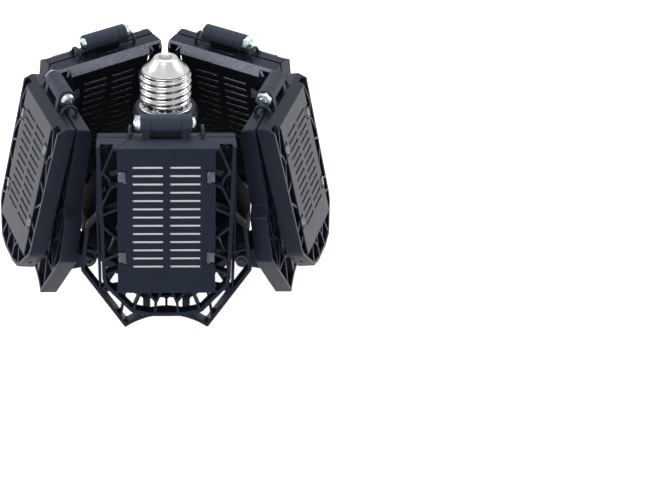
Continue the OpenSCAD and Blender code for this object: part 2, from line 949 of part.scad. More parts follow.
module supply_wires() {
    color("#a03028")
        both()
            translate([supply_x, 0, driver_z + driver_t])
                cylinder(r = supply_r, h = spigot_z - driver_z - driver_t, $fn = 24);
}

module centre_led_board() {
    color("#e4e4ea")
        difference() {
            union() {
                translate([0, 0, seat_z - board_t])
                    cylinder(r = centre_board_r, h = board_t);
                for (i = [0:1])
                    around(ring_chips[i])
                        translate([ring_shares[i]*centre_board_r - chip_w/2, -chip_w/2, centre_chip_z])
                            cube([chip_w, chip_w, chip_h + over]);
            }
            around(screw_count)
                translate([screw_share*centre_board_r, 0, seat_z - board_t - over])
                    cylinder(r = screw_hole_r, h = board_t + 2*over);
        }
}

module board_screws() {
    color("#4a4c50")
        around(screw_count)
            translate([screw_share*centre_board_r, 0, seat_z - board_t]) {
                cylinder(r = screw_r, h = screw_l);
                translate([0, 0, -screw_head_h])
                    cylinder(r = screw_head_r, h = screw_head_h);
            }
}

// Clear cup over the middle board
module centre_lens() {
    lens_r = lens_hole_r - seat_gap;
    color("#d8e4ec", 0.4)
        rotate_extrude($fn = 96)
            polygon([
                [0, face_z],
                [lens_r, face_z],
                [lens_r, seat_z],
                [lens_r - lens_t, seat_z],
                [lens_r - lens_t, face_z + lens_t],
                [0, face_z + lens_t]
            ]);
}

screw_shell();
cap_insulator();
centre_contact();
cap_collar();
upper_housing();
lower_housing();
heat_spreader();
driver_board();
supply_wires();
centre_led_board();
board_screws();
centre_lens();
inner_frame(1);  // inner_frame_1
inner_frame(2);  // inner_frame_2
inner_frame(3);  // inner_frame_3
inner_frame(4);  // inner_frame_4
inner_frame(5);  // inner_frame_5
inner_led_board(1);  // inner_led_board_1
inner_led_board(2);  // inner_led_board_2
inner_led_board(3);  // inner_led_board_3
inner_led_board(4);  // inner_led_board_4
inner_led_board(5);  // inner_led_board_5
inner_lens(1);  // inner_lens_1
inner_lens(2);  // inner_lens_2
inner_lens(3);  // inner_lens_3
inner_lens(4);  // inner_lens_4
inner_lens(5);  // inner_lens_5
arm_bolt(1);  // arm_bolt_1
arm_bolt(2);  // arm_bolt_2
arm_bolt(3);  // arm_bolt_3
arm_bolt(4);  // arm_bolt_4
arm_bolt(5);  // arm_bolt_5
jumper_wires(1);  // jumper_wires_1
jumper_wires(2);  // jumper_wires_2
jumper_wires(3);  // jumper_wires_3
jumper_wires(4);  // jumper_wires_4
jumper_wires(5);  // jumper_wires_5
outer_frame(1);  // outer_frame_1
outer_frame(2);  // outer_frame_2
outer_frame(3);  // outer_frame_3
outer_frame(4);  // outer_frame_4
outer_frame(5);  // outer_frame_5
outer_led_board(1);  // outer_led_board_1
outer_led_board(2);  // outer_led_board_2
outer_led_board(3);  // outer_led_board_3
outer_led_board(4);  // outer_led_board_4
outer_led_board(5);  // outer_led_board_5
outer_lens(1);  // outer_lens_1
outer_lens(2);  // outer_lens_2
outer_lens(3);  // outer_lens_3
outer_lens(4);  // outer_lens_4
outer_lens(5);  // outer_lens_5
leaf_bolt(1);  // leaf_bolt_1
leaf_bolt(2);  // leaf_bolt_2
leaf_bolt(3);  // leaf_bolt_3
leaf_bolt(4);  // leaf_bolt_4
leaf_bolt(5);  // leaf_bolt_5
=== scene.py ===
import math

import bmesh
import bpy
from mathutils import Matrix, Vector
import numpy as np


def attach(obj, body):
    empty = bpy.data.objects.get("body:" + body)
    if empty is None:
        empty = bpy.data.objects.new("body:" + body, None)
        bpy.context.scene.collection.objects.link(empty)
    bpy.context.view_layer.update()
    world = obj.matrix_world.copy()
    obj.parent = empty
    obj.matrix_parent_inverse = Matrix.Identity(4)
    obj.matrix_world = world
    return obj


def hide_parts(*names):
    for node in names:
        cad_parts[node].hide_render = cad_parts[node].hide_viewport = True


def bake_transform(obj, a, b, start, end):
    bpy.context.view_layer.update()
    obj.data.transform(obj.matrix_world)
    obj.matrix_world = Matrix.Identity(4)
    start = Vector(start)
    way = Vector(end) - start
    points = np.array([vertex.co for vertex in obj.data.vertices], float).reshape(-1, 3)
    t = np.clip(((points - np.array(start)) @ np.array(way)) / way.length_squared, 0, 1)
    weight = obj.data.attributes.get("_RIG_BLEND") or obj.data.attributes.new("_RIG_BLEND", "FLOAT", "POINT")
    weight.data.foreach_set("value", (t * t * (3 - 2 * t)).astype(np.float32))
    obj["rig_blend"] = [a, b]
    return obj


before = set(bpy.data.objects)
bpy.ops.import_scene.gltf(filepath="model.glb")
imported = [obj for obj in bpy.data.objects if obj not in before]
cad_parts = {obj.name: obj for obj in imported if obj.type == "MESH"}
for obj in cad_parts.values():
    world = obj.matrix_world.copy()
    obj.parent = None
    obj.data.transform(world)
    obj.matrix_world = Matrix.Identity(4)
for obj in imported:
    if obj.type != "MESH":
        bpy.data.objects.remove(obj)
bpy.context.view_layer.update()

# Sizes are in millimetres, as in the part's source. Leaf sizes run from the hinge axis:
# t across the leaf, n away from the hinge plane, v down the leaf.
MM = 0.001
LEAVES = 5
TURN = math.tau / LEAVES
# Upper hinges, and the lean of the folded leaves on them in degrees
HINGE_R, HINGE_DROP = 54.5, 9.5
INNER_LEAN, OUTER_LEAN = 10.8, 13.5
# Lower hinges
PIVOT_R, PIVOT_DROP = 45.6, 103.3
# Leaves and the slopes above their back plates, as (reach in n, height in v)
LEAF_TOP, LEAF_T, FACE_GAP = 6.7, 9.0, 0.25
PLATE_T, PLATE_HALF = 1.2, 23.4
OUTER_SLOPE, INNER_SLOPE = (4.2, 3.5), (6.7, 5.3)
# Barrels of the upper hinges, the lowest line of the sloping bands, and the ejectors' ovals with
# their turn about n and their half length and width
BARREL_R, BAND_LOW = 4.5, 14.0
RECESS_T, RECESS_V, RECESS_DEEP = 23.25, 85.5, 0.5
RECESS_TURN, RECESS_OVAL = math.radians(133.8), (2.0, 0.8, 1, 1)
# Lenses and boards of the leaves, the windows that the lenses clip into, and the light chips
LENS_HALF, LENS_H, LENS_T, LENS_TOP = 21.15, 69.1, 1.2, 9.4
BOARD_T, BOARD_N, BOARD_ROOM = 1.6, 6.2, 0.2
WINDOW_IN, WINDOW_H, WINDOW_SHARES = 19.0, 6.8, (0.162, 0.74)
CLIP_H, CLIP_T = 4.8, 1.9
CHIP_COLS, CHIP_ROWS, CHIP_W, CHIP_L, CHIP_H = 5, 6, 2.8, 3.5, 0.7
# Bolts, the widths that they clamp, and the jumper wires with the line that they bend over
BOLT_R, NUT_W, NUT_H, HEAD_R, HEAD_H = 2.0, 7.0, 2.8, 3.2, 2.0
LEAF_GRIP, ARM_GRIP = 24.6, 22.4
WIRE_R, WIRE_T, WIRE_IN, WIRE_OUT, WIRE_TOP = 0.85, 17.2, 4.0, 3.0, 5.1
# Screw cap: shell, thread, flared rim, band with its crimps, and contact
CAP_H, SHELL_ROOT, SHELL_CREST, SHELL_IN, SHELL_TOP = 26.5, 12.1, 13.2, 11.5, -7.3
PITCH, RIM_R, RIM_H, BAND_H = 3.63, 13.9, 0.5, 1.6
VALLEY_R, CRIMPS, CRIMP_OUT = 11.85, 24, 0.45
CONTACT_R, DOME_R, DOME_H = 4.6, 11.8, 6.9
# Housing and middle light
NECK_R, NECK_Z, NECK_T = 16.8, -31.5, 3.0
FLANGE_R, FLANGE_TOP, HOUSING_T = 44.5, -84.5, 2.4
FACE_Z, SEAT_Z, LENS_HOLE_R = -113.5, -106.0, 28.9
CENTRE_BOARD_R = 24.2
# The open leaves reach 146 mm below the top of the cap.
FLOOR_Z = -150.0

# Points closer than these merge, the second where a mesh has fine detail.
WELD, FINE_WELD = 0.002, 0.001
# Two heights or places nearer than this count as the same.
SAME = 0.01
# Reach of a cutting shape beyond what it cuts
OVERRUN = 1
# Folds between two faces: a hardly bent one, ones that take a bevel, and a square one
FLAT, FOLD = math.radians(0.5), math.radians(30)
BOWL_FOLD, EDGE_FOLD = math.radians(35), math.radians(50)
# Cosines for a line or face that lies along a direction, and for one that lies across it
ALONG, ROUGHLY, ACROSS = 0.97, 0.9, 0.2
# Softened edges of moulded and pressed pieces
EDGE_BREAK, FINE_BREAK = 0.3, 0.12
# Parts of a soft curve between two of its given points
CURVE_PARTS = 5


# Modelling

def deselect():
    """Leaves nothing selected, because an operator acts on all that is."""
    for obj in list(bpy.context.selected_objects):
        obj.select_set(False)


def take(obj):
    """Selects obj alone and makes it the active one."""
    deselect()
    obj.select_set(True)
    bpy.context.view_layer.objects.active = obj
    return obj


def named(name):
    """Names the primitive that was just added, and sinks its place into its mesh."""
    obj = bpy.context.object
    obj.name = obj.data.name = name
    return settle(obj)


def settle(obj):
    """Moves obj's own place, turn and scale into its mesh."""
    take(obj)
    bpy.ops.object.transform_apply(location=True, rotation=True, scale=True)
    return obj


def edit(obj, mode="FACE"):
    """Opens obj in edit mode with nothing selected, and gives its mesh."""
    take(obj)
    bpy.ops.object.mode_set(mode="EDIT")
    bpy.ops.mesh.select_mode(type=mode)
    bpy.ops.mesh.select_all(action="DESELECT")
    return bmesh.from_edit_mesh(obj.data)


def pick(obj, mesh, things, test):
    """Selects the faces or edges that pass test, by their place or normal."""
    for thing in things:
        thing.select = test(thing)
    mesh.select_flush_mode()
    bmesh.update_edit_mesh(obj.data)


def close(obj):
    """Leaves edit mode."""
    bpy.ops.object.mode_set(mode="OBJECT")
    return obj


def tidy(obj):
    """Merges doubles and turns every face outward."""
    edit(obj)
    bpy.ops.mesh.select_all(action="SELECT")
    bpy.ops.mesh.remove_doubles(threshold=WELD * MM)
    bpy.ops.mesh.normals_make_consistent(inside=False)
    return close(obj)


def finish_with(obj, kind, **settings):
    """Adds a modifier with its settings and applies it."""
    take(obj)
    modifier = obj.modifiers.new(kind.lower(), kind)
    for key, value in settings.items():
        setattr(modifier, key, value)
    bpy.ops.object.modifier_apply(modifier=modifier.name)
    return obj


def bevelled(obj, width, segments=2, fold=FOLD):
    """Rounds every edge that folds more than fold."""
    return finish_with(obj, "BEVEL", width=width * MM, segments=segments,
                       limit_method="ANGLE", angle_limit=fold, use_clamp_overlap=True)


def smooth(obj, sharp_from=35):
    """Shades obj smooth, apart from the edges that fold by sharp_from degrees or more."""
    take(obj)
    bpy.ops.object.shade_smooth_by_angle(angle=math.radians(sharp_from))
    return obj


def paint_picked(index):
    """Gives the picked faces of the open mesh the material of that index."""
    bpy.context.object.active_material_index = index
    bpy.ops.object.material_slot_assign()


def box(name, low, high, width=0.0):
    """A block from its lowest to its highest corner, with bevelled edges."""
    deselect()
    bpy.ops.mesh.primitive_cube_add(
        size=1, location=[(a + b) / 2 * MM for a, b in zip(low, high)],
        scale=[(b - a) * MM for a, b in zip(low, high)])
    obj = named(name)
    return bevelled(obj, width) if width else obj


def rod(name, radius, length, middle=0, sides=48):
    """A cylinder or prism along the lamp axis, with its middle at that height."""
    deselect()
    bpy.ops.mesh.primitive_cylinder_add(vertices=sides, radius=radius * MM, depth=length * MM,
                                        location=(0, 0, middle * MM))
    return named(name)


def cone(name, low_r, high_r, length, middle, sides=48):
    """A cone or pyramid along the lamp axis, with its middle at that height."""
    deselect()
    bpy.ops.mesh.primitive_cone_add(vertices=sides, radius1=low_r * MM, radius2=high_r * MM,
                                    depth=length * MM, location=(0, 0, middle * MM))
    return named(name)


def ring_of(name, points):
    """A closed chain of edges, drawn by extruding one point, and left in edit mode."""
    deselect()
    spots = [Vector(point) * MM for point in points]
    bpy.ops.mesh.primitive_plane_add(size=MM, location=spots[0])
    obj = named(name)
    edit(obj, "VERT")
    bpy.ops.mesh.select_all(action="SELECT")
    bpy.ops.mesh.merge(type="CENTER")
    for here, there in zip(spots, spots[1:] + spots[:1]):
        bpy.ops.mesh.extrude_region_move(TRANSFORM_OT_translate={"value": there - here})
    bpy.ops.mesh.select_all(action="SELECT")
    bpy.ops.mesh.remove_doubles(threshold=FINE_WELD * MM)
    return obj


def turned(name, profile, steps=96):
    """A closed profile of (radius, height) points, spun round the lamp axis."""
    obj = ring_of(name, [(radius, 0, height) for radius, height in profile])
    bpy.ops.mesh.spin(steps=steps, angle=math.tau, center=(0, 0, 0), axis=(0, 0, 1))
    close(obj)
    return tidy(obj)


def prism(name, points, length):
    """A closed outline, filled and pulled out by length, a vector in mm."""
    obj = ring_of(name, points)
    bpy.ops.mesh.edge_face_add()
    bpy.ops.mesh.extrude_region_move(TRANSFORM_OT_translate={"value": Vector(length) * MM})
    close(obj)
    return tidy(obj)


def joined(name, objs):
    """Several made pieces as one mesh."""
    deselect()
    for obj in objs:
        obj.select_set(True)
    bpy.context.view_layer.objects.active = objs[0]
    bpy.ops.object.join()
    objs[0].name = objs[0].data.name = name
    return objs[0]


def again(obj, name, matrix):
    """A copy with its own mesh, moved by matrix."""
    copy = bpy.data.objects.new(name, obj.data.copy())
    copy.data.name = name
    bpy.context.scene.collection.objects.link(copy)
    copy.data.transform(matrix)
    return copy


def cut(obj, tool):
    """Takes the shape of tool out of obj."""
    finish_with(obj, "BOOLEAN", operation="DIFFERENCE", solver="EXACT", object=tool)
    bpy.data.objects.remove(tool)
    return obj


def smooth_line(points):
    """Points of a soft curve through a few given ones, by the Catmull-Rom formula."""
    out = []
    for i in range(len(points) - 1):
        a, b = Vector(points[max(i - 1, 0)]), Vector(points[i])
        c, d = Vector(points[i + 1]), Vector(points[min(i + 2, len(points) - 1)])
        for j in range(CURVE_PARTS):
            s = j / CURVE_PARTS
            spot = b + (c - a) / 2 * s
            spot += (2 * a - 5 * b + 4 * c - d) / 2 * s ** 2
            spot += (3 * b - a - 3 * c + d) / 2 * s ** 3
            out.append(tuple(spot))
    return out + [tuple(points[-1])]


def leaf_frame(lean):
    """From leaf 1's own frame to the lamp's."""
    return (Matrix.Translation(Vector((0, -HINGE_R, -HINGE_DROP)) * MM)
            @ Matrix.Rotation(-math.radians(lean), 4, "X"))


INNER, OUTER = leaf_frame(INNER_LEAN), leaf_frame(OUTER_LEAN)
MIRROR = Matrix.Scale(-1, 4, (0, 1, 0))


def to_leaf(obj, frame_of_leaf, flipped=False):
    """Moves a piece that was made in a leaf's own frame onto leaf 1."""
    obj.data.transform(frame_of_leaf @ MIRROR if flipped else frame_of_leaf)
    if flipped:
        obj.data.flip_normals()
    return obj


def round_the_lamp(obj, stem, body):
    """Leaf 1's piece and its four copies, each on its own body and in place of its CAD node."""
    pieces = [again(obj, f"{stem}_made_{k + 1}", Matrix.Rotation(k * TURN, 4, "Z"))
              for k in range(LEAVES)]
    bpy.data.objects.remove(obj)
    for k, piece in enumerate(pieces, 1):
        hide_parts(f"{stem}_{k}")
        if body:
            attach(piece, f"{body}_{k}")
    return pieces


def on_housing(obj, node):
    """A piece of the housing, in place of its CAD node."""
    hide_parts(node)
    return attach(obj, "housing")


# Materials

# Sockets of a Mix node that mixes two colours
COLOUR_A, COLOUR_B, MIXED = 6, 7, 2
PATCH_DETAIL, GRAIN_DETAIL, FLOW_DETAIL = 4.0, 3.0, 2.0
# Index of refraction of each plastic, and the cool tint of the room in black ones
ABS_IOR, PVC_IOR, NYLON_IOR, SILICONE_IOR, PHENOLIC_IOR = 1.53, 1.53, 1.53, 1.41, 1.55
RESIN_IOR, POLYCARBONATE_IOR = 1.5, 1.58
COOL = "#b9c9ec"


def linear(code):
    """An sRGB hex colour as the linear one that Blender's shaders take."""
    parts = [int(code[i:i + 2], 16) / 255 for i in (1, 3, 5)]
    return [p / 12.92 if p <= 0.04045 else ((p + 0.055) / 1.055) ** 2.4 for p in parts] + [1]


def per_mm(size):
    """Noise scale for a feature of that size in millimetres, on coordinates in metres."""
    return 1 / (size * MM)


def add(tree, kind, links=(), **settings):
    """Adds a node, sets what is named and links (its input, another node's output)."""
    node = tree.nodes.new(kind)
    for key, value in settings.items():
        if hasattr(node, key):
            setattr(node, key, value)
        else:
            node.inputs[key.replace("_", " ")].default_value = value
    for key, output in links:
        tree.links.new(output, node.inputs[key])
    return node


def new_material(name):
    """A material with its node tree, its shader and the Object coordinates."""
    material = bpy.data.materials.new(name)
    material.use_nodes = True
    tree = material.node_tree
    shader = tree.nodes["Principled BSDF"]
    where = add(tree, "ShaderNodeTexCoord").outputs["Object"]
    return material, tree, shader, where


def finish_of(name, low, high, size, rough, spread=0.06, bump=0.0, bump_size=0.2, depth=0.02,
              metallic=0.0, ior=None, gleam=0.5, gleam_tint="#ffffff", stretch=None):
    """A surface whose colour, gloss and relief change a little from place to place.
    size is the width in mm of the colour's patches, bump_size that of the grain, gleam how
    much of its mirror share the surface keeps, and gleam_tint the colour of that share."""
    material, tree, shader, where = new_material(name)
    if stretch:
        where = add(tree, "ShaderNodeMapping", [("Vector", where)], Scale=stretch).outputs[0]
    patches = add(tree, "ShaderNodeTexNoise", [("Vector", where)],
                  Scale=per_mm(size), Detail=PATCH_DETAIL).outputs["Fac"]
    tint = add(tree, "ShaderNodeMix", [(0, patches)], data_type="RGBA")
    tint.inputs[COLOUR_A].default_value = linear(low)
    tint.inputs[COLOUR_B].default_value = linear(high)
    tree.links.new(tint.outputs[MIXED], shader.inputs["Base Color"])
    gloss = add(tree, "ShaderNodeMapRange", [("Value", patches)])
    gloss.inputs["To Min"].default_value = rough - spread
    gloss.inputs["To Max"].default_value = rough + spread
    tree.links.new(gloss.outputs[0], shader.inputs["Roughness"])
    shader.inputs["Metallic"].default_value = metallic
    shader.inputs["Specular IOR Level"].default_value = gleam
    shader.inputs["Specular Tint"].default_value = linear(gleam_tint)
    if ior:
        shader.inputs["IOR"].default_value = ior
    if bump:
        grain = add(tree, "ShaderNodeTexNoise", [("Vector", where)],
                    Scale=per_mm(bump_size), Detail=GRAIN_DETAIL).outputs["Fac"]
        relief = add(tree, "ShaderNodeBump", [("Height", grain)],
                     Strength=bump, Distance=depth * MM)
        tree.links.new(relief.outputs[0], shader.inputs["Normal"])
    return material


# Black ABS moulded in a fine spark-eroded tool: a soft blue-grey sheen with a faint grain.
# The real grain is about 0.05 mm, and it is drawn at 0.35 mm so that it shows.
moulded_abs = finish_of("moulded black ABS", "#0f131b", "#151a24", size=6, rough=0.42,
                        bump=0.35, bump_size=0.35, depth=0.03, ior=ABS_IOR, gleam=0.2,
                        gleam_tint=COOL)
# The hinge barrels keep a coarser tool texture, so that they look darker and speckled.
barrel_abs = finish_of("textured black ABS", "#11141b", "#363c48", size=0.9, rough=0.55,
                       bump=0.8, bump_size=0.6, depth=0.12, ior=ABS_IOR, gleam=0.2,
                       gleam_tint=COOL)
# The bands above the inner leaves have the coarsest texture, and its pale specks on black are painted glints
# of that texture.
coarse_glint_abs = finish_of("coarse black ABS with painted glints", "#171a21", "#a4aaba", size=0.9, rough=0.6,
                       bump=1.0, bump_size=0.7, depth=0.2, ior=ABS_IOR, gleam=0.25,
                       gleam_tint=COOL)
# Painted shade: the backs that face the bulb are painted deep black with hardly any gleam, for the dark
# between the leaves.
painted_shade_abs = finish_of("shade-painted black ABS", "#07090c", "#0c0f14", size=4, rough=0.5,
                       bump=0.2, bump_size=0.5, depth=0.03, ior=ABS_IOR, gleam=0.04,
                       gleam_tint=COOL)
# Black ABS housings, moulded in a fine satin tool: darker, with a broad faint highlight.
housing_abs = finish_of("satin black ABS", "#090b0e", "#0e1014", size=9, rough=0.6, bump=0.2,
                        bump_size=0.3, ior=ABS_IOR, gleam=0.03, gleam_tint=COOL)
# The ring under the cap has the same plastic with a slightly greyer sheen.
collar_abs = finish_of("turned grey-black ABS", "#101319", "#171b22", size=5, rough=0.34,
                       bump=0.25, bump_size=0.3, ior=ABS_IOR, gleam=0.35,
                       gleam_tint=COOL)
# Brass rolled and nickel-plated: bright, with long streaks round it from the roller.
nickel_plate = finish_of("rolled nickel plate", "#a6a8aa", "#c6c8ca", size=2.2, rough=0.17,
                         spread=0.03, bump=0.05, bump_size=0.5, metallic=1.0,
                         stretch=(0.25, 0.25, 1.6))
# The contact is pressed and tumbled: as bright, but satin, so that it mirrors only softly.
tumbled_nickel = finish_of("tumbled nickel plate", "#b8babc", "#ced0d2", size=2.5, rough=0.26,
                           spread=0.04, bump=0.08, bump_size=0.4, metallic=1.0)
# Solder in the dish of the contact: dull grey tin.
tin_solder = finish_of("dull tin solder", "#77797c", "#94969a", size=1.2, rough=0.5, bump=0.3,
                       bump_size=0.6, depth=0.03, metallic=1.0)
# Zinc-plated steel: duller than nickel and cloudy, with a bluish tint.
zinc_plate = finish_of("zinc-plated steel", "#7f8d94", "#cbd9de", size=0.8, rough=0.28,
                       spread=0.1, bump=0.2, bump_size=0.3, metallic=1.0)
# Steel blackened by oxide: near black, with a dull metal sheen on the edges.
black_oxide = finish_of("black oxide steel", "#1d1f22", "#34373c", size=1.5, rough=0.38,
                        spread=0.08, bump=0.2, bump_size=0.3, metallic=0.6)
# Painted shade: inside the barrels the bolts' shanks are painted near black, so that the seams between these
# stay dark.
shank_shade_steel = finish_of("shade-painted steel", "#15171a", "#24272b", size=1.0, rough=0.45,
                          bump=0.2, bump_size=0.4, metallic=0.4)
# PVC sleeve of a stranded wire: a soft black sheen with slight waves along it.
wire_pvc = finish_of("black PVC sleeve", "#11141b", "#1a1e27", size=2, rough=0.4, bump=0.25,
                     bump_size=1.2, depth=0.05, ior=PVC_IOR, gleam=0.3, gleam_tint=COOL)
# White solder mask over aluminium-backed board: even, slightly glossy, with faint blotches.
solder_mask = finish_of("white solder mask", "#ededf3", "#f8f8fb", size=5, rough=0.32,
                        bump=0.12, bump_size=1.5, ior=RESIN_IOR)
# Body of a light chip: matt white polyamide.
chip_body = finish_of("white polyamide", "#e9e9e4", "#f4f4ee", size=1, rough=0.5, bump=0.1,
                      bump_size=0.4, depth=0.01, ior=NYLON_IOR)
# Phosphor in silicone: pale yellow, soft and slightly glossy.
phosphor = finish_of("yellow phosphor silicone", "#e8e29a", "#f3efb8", size=0.8, rough=0.3,
                     bump=0.1, bump_size=0.3, depth=0.01, ior=SILICONE_IOR)
# Phenolic ring under the contact: dark, dense and slightly glossy.
phenolic = finish_of("black phenolic", "#121316", "#1d1e22", size=2, rough=0.35, bump=0.2,
                     bump_size=0.4, ior=PHENOLIC_IOR)
# Die-cast aluminium left as cast: grey with a fine grain.
cast_aluminium = finish_of("as-cast aluminium", "#9da1a6", "#b9bdc1", size=4, rough=0.5,
                           bump=0.5, bump_size=0.6, depth=0.05, metallic=1.0)
# Green glass-fibre board of the driver.
driver_green = finish_of("green glass-fibre board", "#235a38", "#2f7048", size=3, rough=0.35,
                         bump=0.3, bump_size=0.8, depth=0.03, ior=RESIN_IOR)
# Red PVC of the supply wires.
supply_pvc = finish_of("red PVC sleeve", "#8e2a22", "#a8362c", size=2, rough=0.4, bump=0.2,
                       bump_size=1, depth=0.03, ior=PVC_IOR)


# Gloss of the lenses, and the strength and depth of their flow marks
LENS_ROUGH, FLOW_STRENGTH, FLOW_DEPTH = 0.08, 0.15, 0.03


def clear_polycarbonate(name, tint, haze, size):
    """Moulded clear polycarbonate: it lets the board show, and its skin mirrors the room.
    haze is the share of it that shows square on, and size the width of its flow marks in mm."""
    material, tree, shader, where = new_material(name)
    shader.inputs["Base Color"].default_value = linear(tint)
    shader.inputs["IOR"].default_value = POLYCARBONATE_IOR
    shader.inputs["Roughness"].default_value = LENS_ROUGH
    flow = add(tree, "ShaderNodeTexNoise", [("Vector", where)],
               Scale=per_mm(size), Detail=FLOW_DETAIL)
    relief = add(tree, "ShaderNodeBump", [("Height", flow.outputs["Fac"])],
                 Strength=FLOW_STRENGTH, Distance=FLOW_DEPTH * MM)
    tree.links.new(relief.outputs[0], shader.inputs["Normal"])
    mirror_share = add(tree, "ShaderNodeFresnel", IOR=POLYCARBONATE_IOR)
    body = add(tree, "ShaderNodeMapRange", [("Value", mirror_share.outputs[0])])
    body.inputs["To Min"].default_value = haze
    body.inputs["To Max"].default_value = 1.0
    tree.links.new(body.outputs[0], shader.inputs["Alpha"])
    return material


clear_lens = clear_polycarbonate("clear polycarbonate", "#e4e9ef", haze=0.1, size=6)
# The fluted walls and edges of the same lenses scatter more light, and look milky grey.
fluted_lens = clear_polycarbonate("fluted polycarbonate", "#b9bfcc", haze=0.34, size=1.5)
# The snap hooks are solid, so the black behind them shows through a grey body.
hook_lens = clear_polycarbonate("snap-hook polycarbonate", "#6d7482", haze=0.35, size=1.2)


def wear(obj, *materials):
    """Gives obj its materials, the first on every face."""
    obj.data.materials.clear()
    for material in materials:
        obj.data.materials.append(material)
    return obj


# Screw cap

# Outlines of the shell: the flared rim as (in from RIM_R, up from the edge), the heights of the
# band, the shoulder as (out from SHELL_IN, down from the top), and the rim's inner side
RIM_OUTLINE = ((0.15, 0), (0, 0.12), (0, 0.35), (0.5, 0.7))
BAND_HEIGHTS = (0.9, 1.1, 1.9)
SHOULDER_OUTLINE = ((0.45, 0.1), (0.3, 0))
RIM_INSIDE = ((RIM_R - SHELL_IN, 0.6), (1.2, 0.1))
# Gaps above and below the thread, its grid and start, and the heights of the crimps
SHOULDER_DROP, THREAD_TOP, THREAD_RISE = 0.5, 1.1, 0.7
THREAD_ROWS, THREAD_COLUMNS, THREAD_START = 96, 192, math.radians(48)
CRIMP_LOW, CRIMP_CLEAR, SURFACE_GAP = 1, 0.1, 0.02
# The thread fades in and out over this share of its pitch.
FADE_SHARE = 1 / 4


def screw_shell():
    """Rolled shell: a fine grid of rows, each pushed out to the thread's wave."""
    low, high = -CAP_H + RIM_H + BAND_H + THREAD_RISE, SHELL_TOP - THREAD_TOP
    outside = [(RIM_R - inward, -CAP_H + up) for inward, up in RIM_OUTLINE]
    outside += [(SHELL_ROOT, -CAP_H + up) for up in BAND_HEIGHTS]
    outside += [(SHELL_ROOT, low + (high - low) * i / THREAD_ROWS)
                for i in range(THREAD_ROWS + 1)]
    outside += [(SHELL_ROOT, SHELL_TOP - SHOULDER_DROP)]
    outside += [(SHELL_IN + out, SHELL_TOP - down) for out, down in SHOULDER_OUTLINE]
    inside = [(SHELL_IN, SHELL_TOP)]
    inside += [(RIM_R - inward, -CAP_H + up) for inward, up in RIM_INSIDE]
    obj = turned("screw_shell", outside + inside, steps=THREAD_COLUMNS)
    middle, wave = (VALLEY_R + SHELL_CREST) / 2, (SHELL_CREST - VALLEY_R) / 2
    for vertex in obj.data.vertices:
        x, y, z = vertex.co / MM
        radius = math.hypot(x, y)
        if radius < SHELL_ROOT - SURFACE_GAP:
            continue
        angle = math.atan2(y, x)
        column = round(angle / math.tau * THREAD_COLUMNS) % (THREAD_COLUMNS // CRIMPS)
        if -CAP_H + CRIMP_LOW < z < low - CRIMP_CLEAR and column == 0:
            reach = SHELL_ROOT + CRIMP_OUT
        elif low <= z <= high:
            fade = min(1, (z - low) / PITCH / FADE_SHARE, (high - z) / PITCH / FADE_SHARE)
            turn = math.tau * (z - high) / PITCH - angle + THREAD_START
            reach = SHELL_ROOT + (middle + wave * math.cos(turn) - SHELL_ROOT) * fade
        else:
            continue
        vertex.co.x *= reach / radius
        vertex.co.y *= reach / radius
    return smooth(wear(obj, nickel_plate), sharp_from=60)


on_housing(screw_shell(), "screw_shell")


# Outline of the contact: its slope in shares of its width and height, and its dish as
# (radius, height)
SLOPE_SHARES = ((0, 0), (0.16, 0.05), (0.3, 0.24), (0.5, 0.5), (0.68, 0.71), (0.86, 0.88), (1, 1))
DISH_OUTLINE = [(0, -0.8), (2.2, -0.75), (2.9, -0.5), (3.4, -0.08), (3.7, 0), (4.3, 0)]
# Thickness of its middle and skirt, reach of the solder, and how far a soldered face looks up
CONTACT_T, SKIRT_T, SOLDER_R, FACES_UP = 1.8, 1, 3.2, 0.3


def centre_contact():
    """Solder-topped dome with the shallow dish that the press leaves."""
    skirt = DOME_R - CONTACT_R
    slope = smooth_line([(CONTACT_R + s * skirt, -d * DOME_H) for s, d in SLOPE_SHARES])
    under = [(DOME_R - SKIRT_T, -DOME_H), (CONTACT_R, -CONTACT_T), (0, -CONTACT_T)]
    obj = turned("centre_contact", DISH_OUTLINE + slope + under)
    wear(obj, tumbled_nickel, tin_solder)
    mesh = edit(obj)
    pick(obj, mesh, mesh.faces, lambda face: (
        face.calc_center_median().xy.length < SOLDER_R * MM and face.normal.z > FACES_UP))
    paint_picked(1)
    return smooth(close(obj), sharp_from=50)


on_housing(centre_contact(), "centre_contact")


# Outline of the collar, as (in from the neck, down from the cap)
COLLAR_OUTLINE = ((0.2, -CAP_H - NECK_Z), (0.2, 3.2), (0.4, 2.2), (1.0, 1.0), (1.6, 0.2), (2.0, 0))


def cap_collar():
    """Ring under the cap with a rounded shoulder."""
    edge = [(NECK_R - inward, -CAP_H - down) for inward, down in COLLAR_OUTLINE]
    obj = turned("cap_collar", edge + [(SHELL_IN, -CAP_H), (SHELL_IN, NECK_Z)])
    return smooth(wear(obj, collar_abs), sharp_from=40)


on_housing(cap_collar(), "cap_collar")


# Housing

# Curve of the bell, in shares of its spread and of its height
BELL_SHARES = ((1, 0.04), (0.93, 0.11), (0.7, 0.33), (0.25, 0.62), (0.05, 0.82), (0, 1))


def upper_housing():
    """Bell from the flange to the neck, on a soft curve."""
    rise, reach = NECK_Z - FLANGE_TOP, FLANGE_R - NECK_R
    bell = smooth_line([(NECK_R + r * reach, FLANGE_TOP + h * rise) for r, h in BELL_SHARES])
    outside = [(FLANGE_R - EDGE_BREAK, FLANGE_TOP), (FLANGE_R, FLANGE_TOP + EDGE_BREAK)] + bell
    inside = [(r - HOUSING_T, z) for r, z in reversed(bell[:-1])]
    inside += [(FLANGE_R - HOUSING_T, FLANGE_TOP)]
    obj = turned("upper_housing", outside + [(NECK_R - NECK_T, NECK_Z)] + inside)
    return smooth(wear(obj, housing_abs))


on_housing(upper_housing(), "upper_housing")


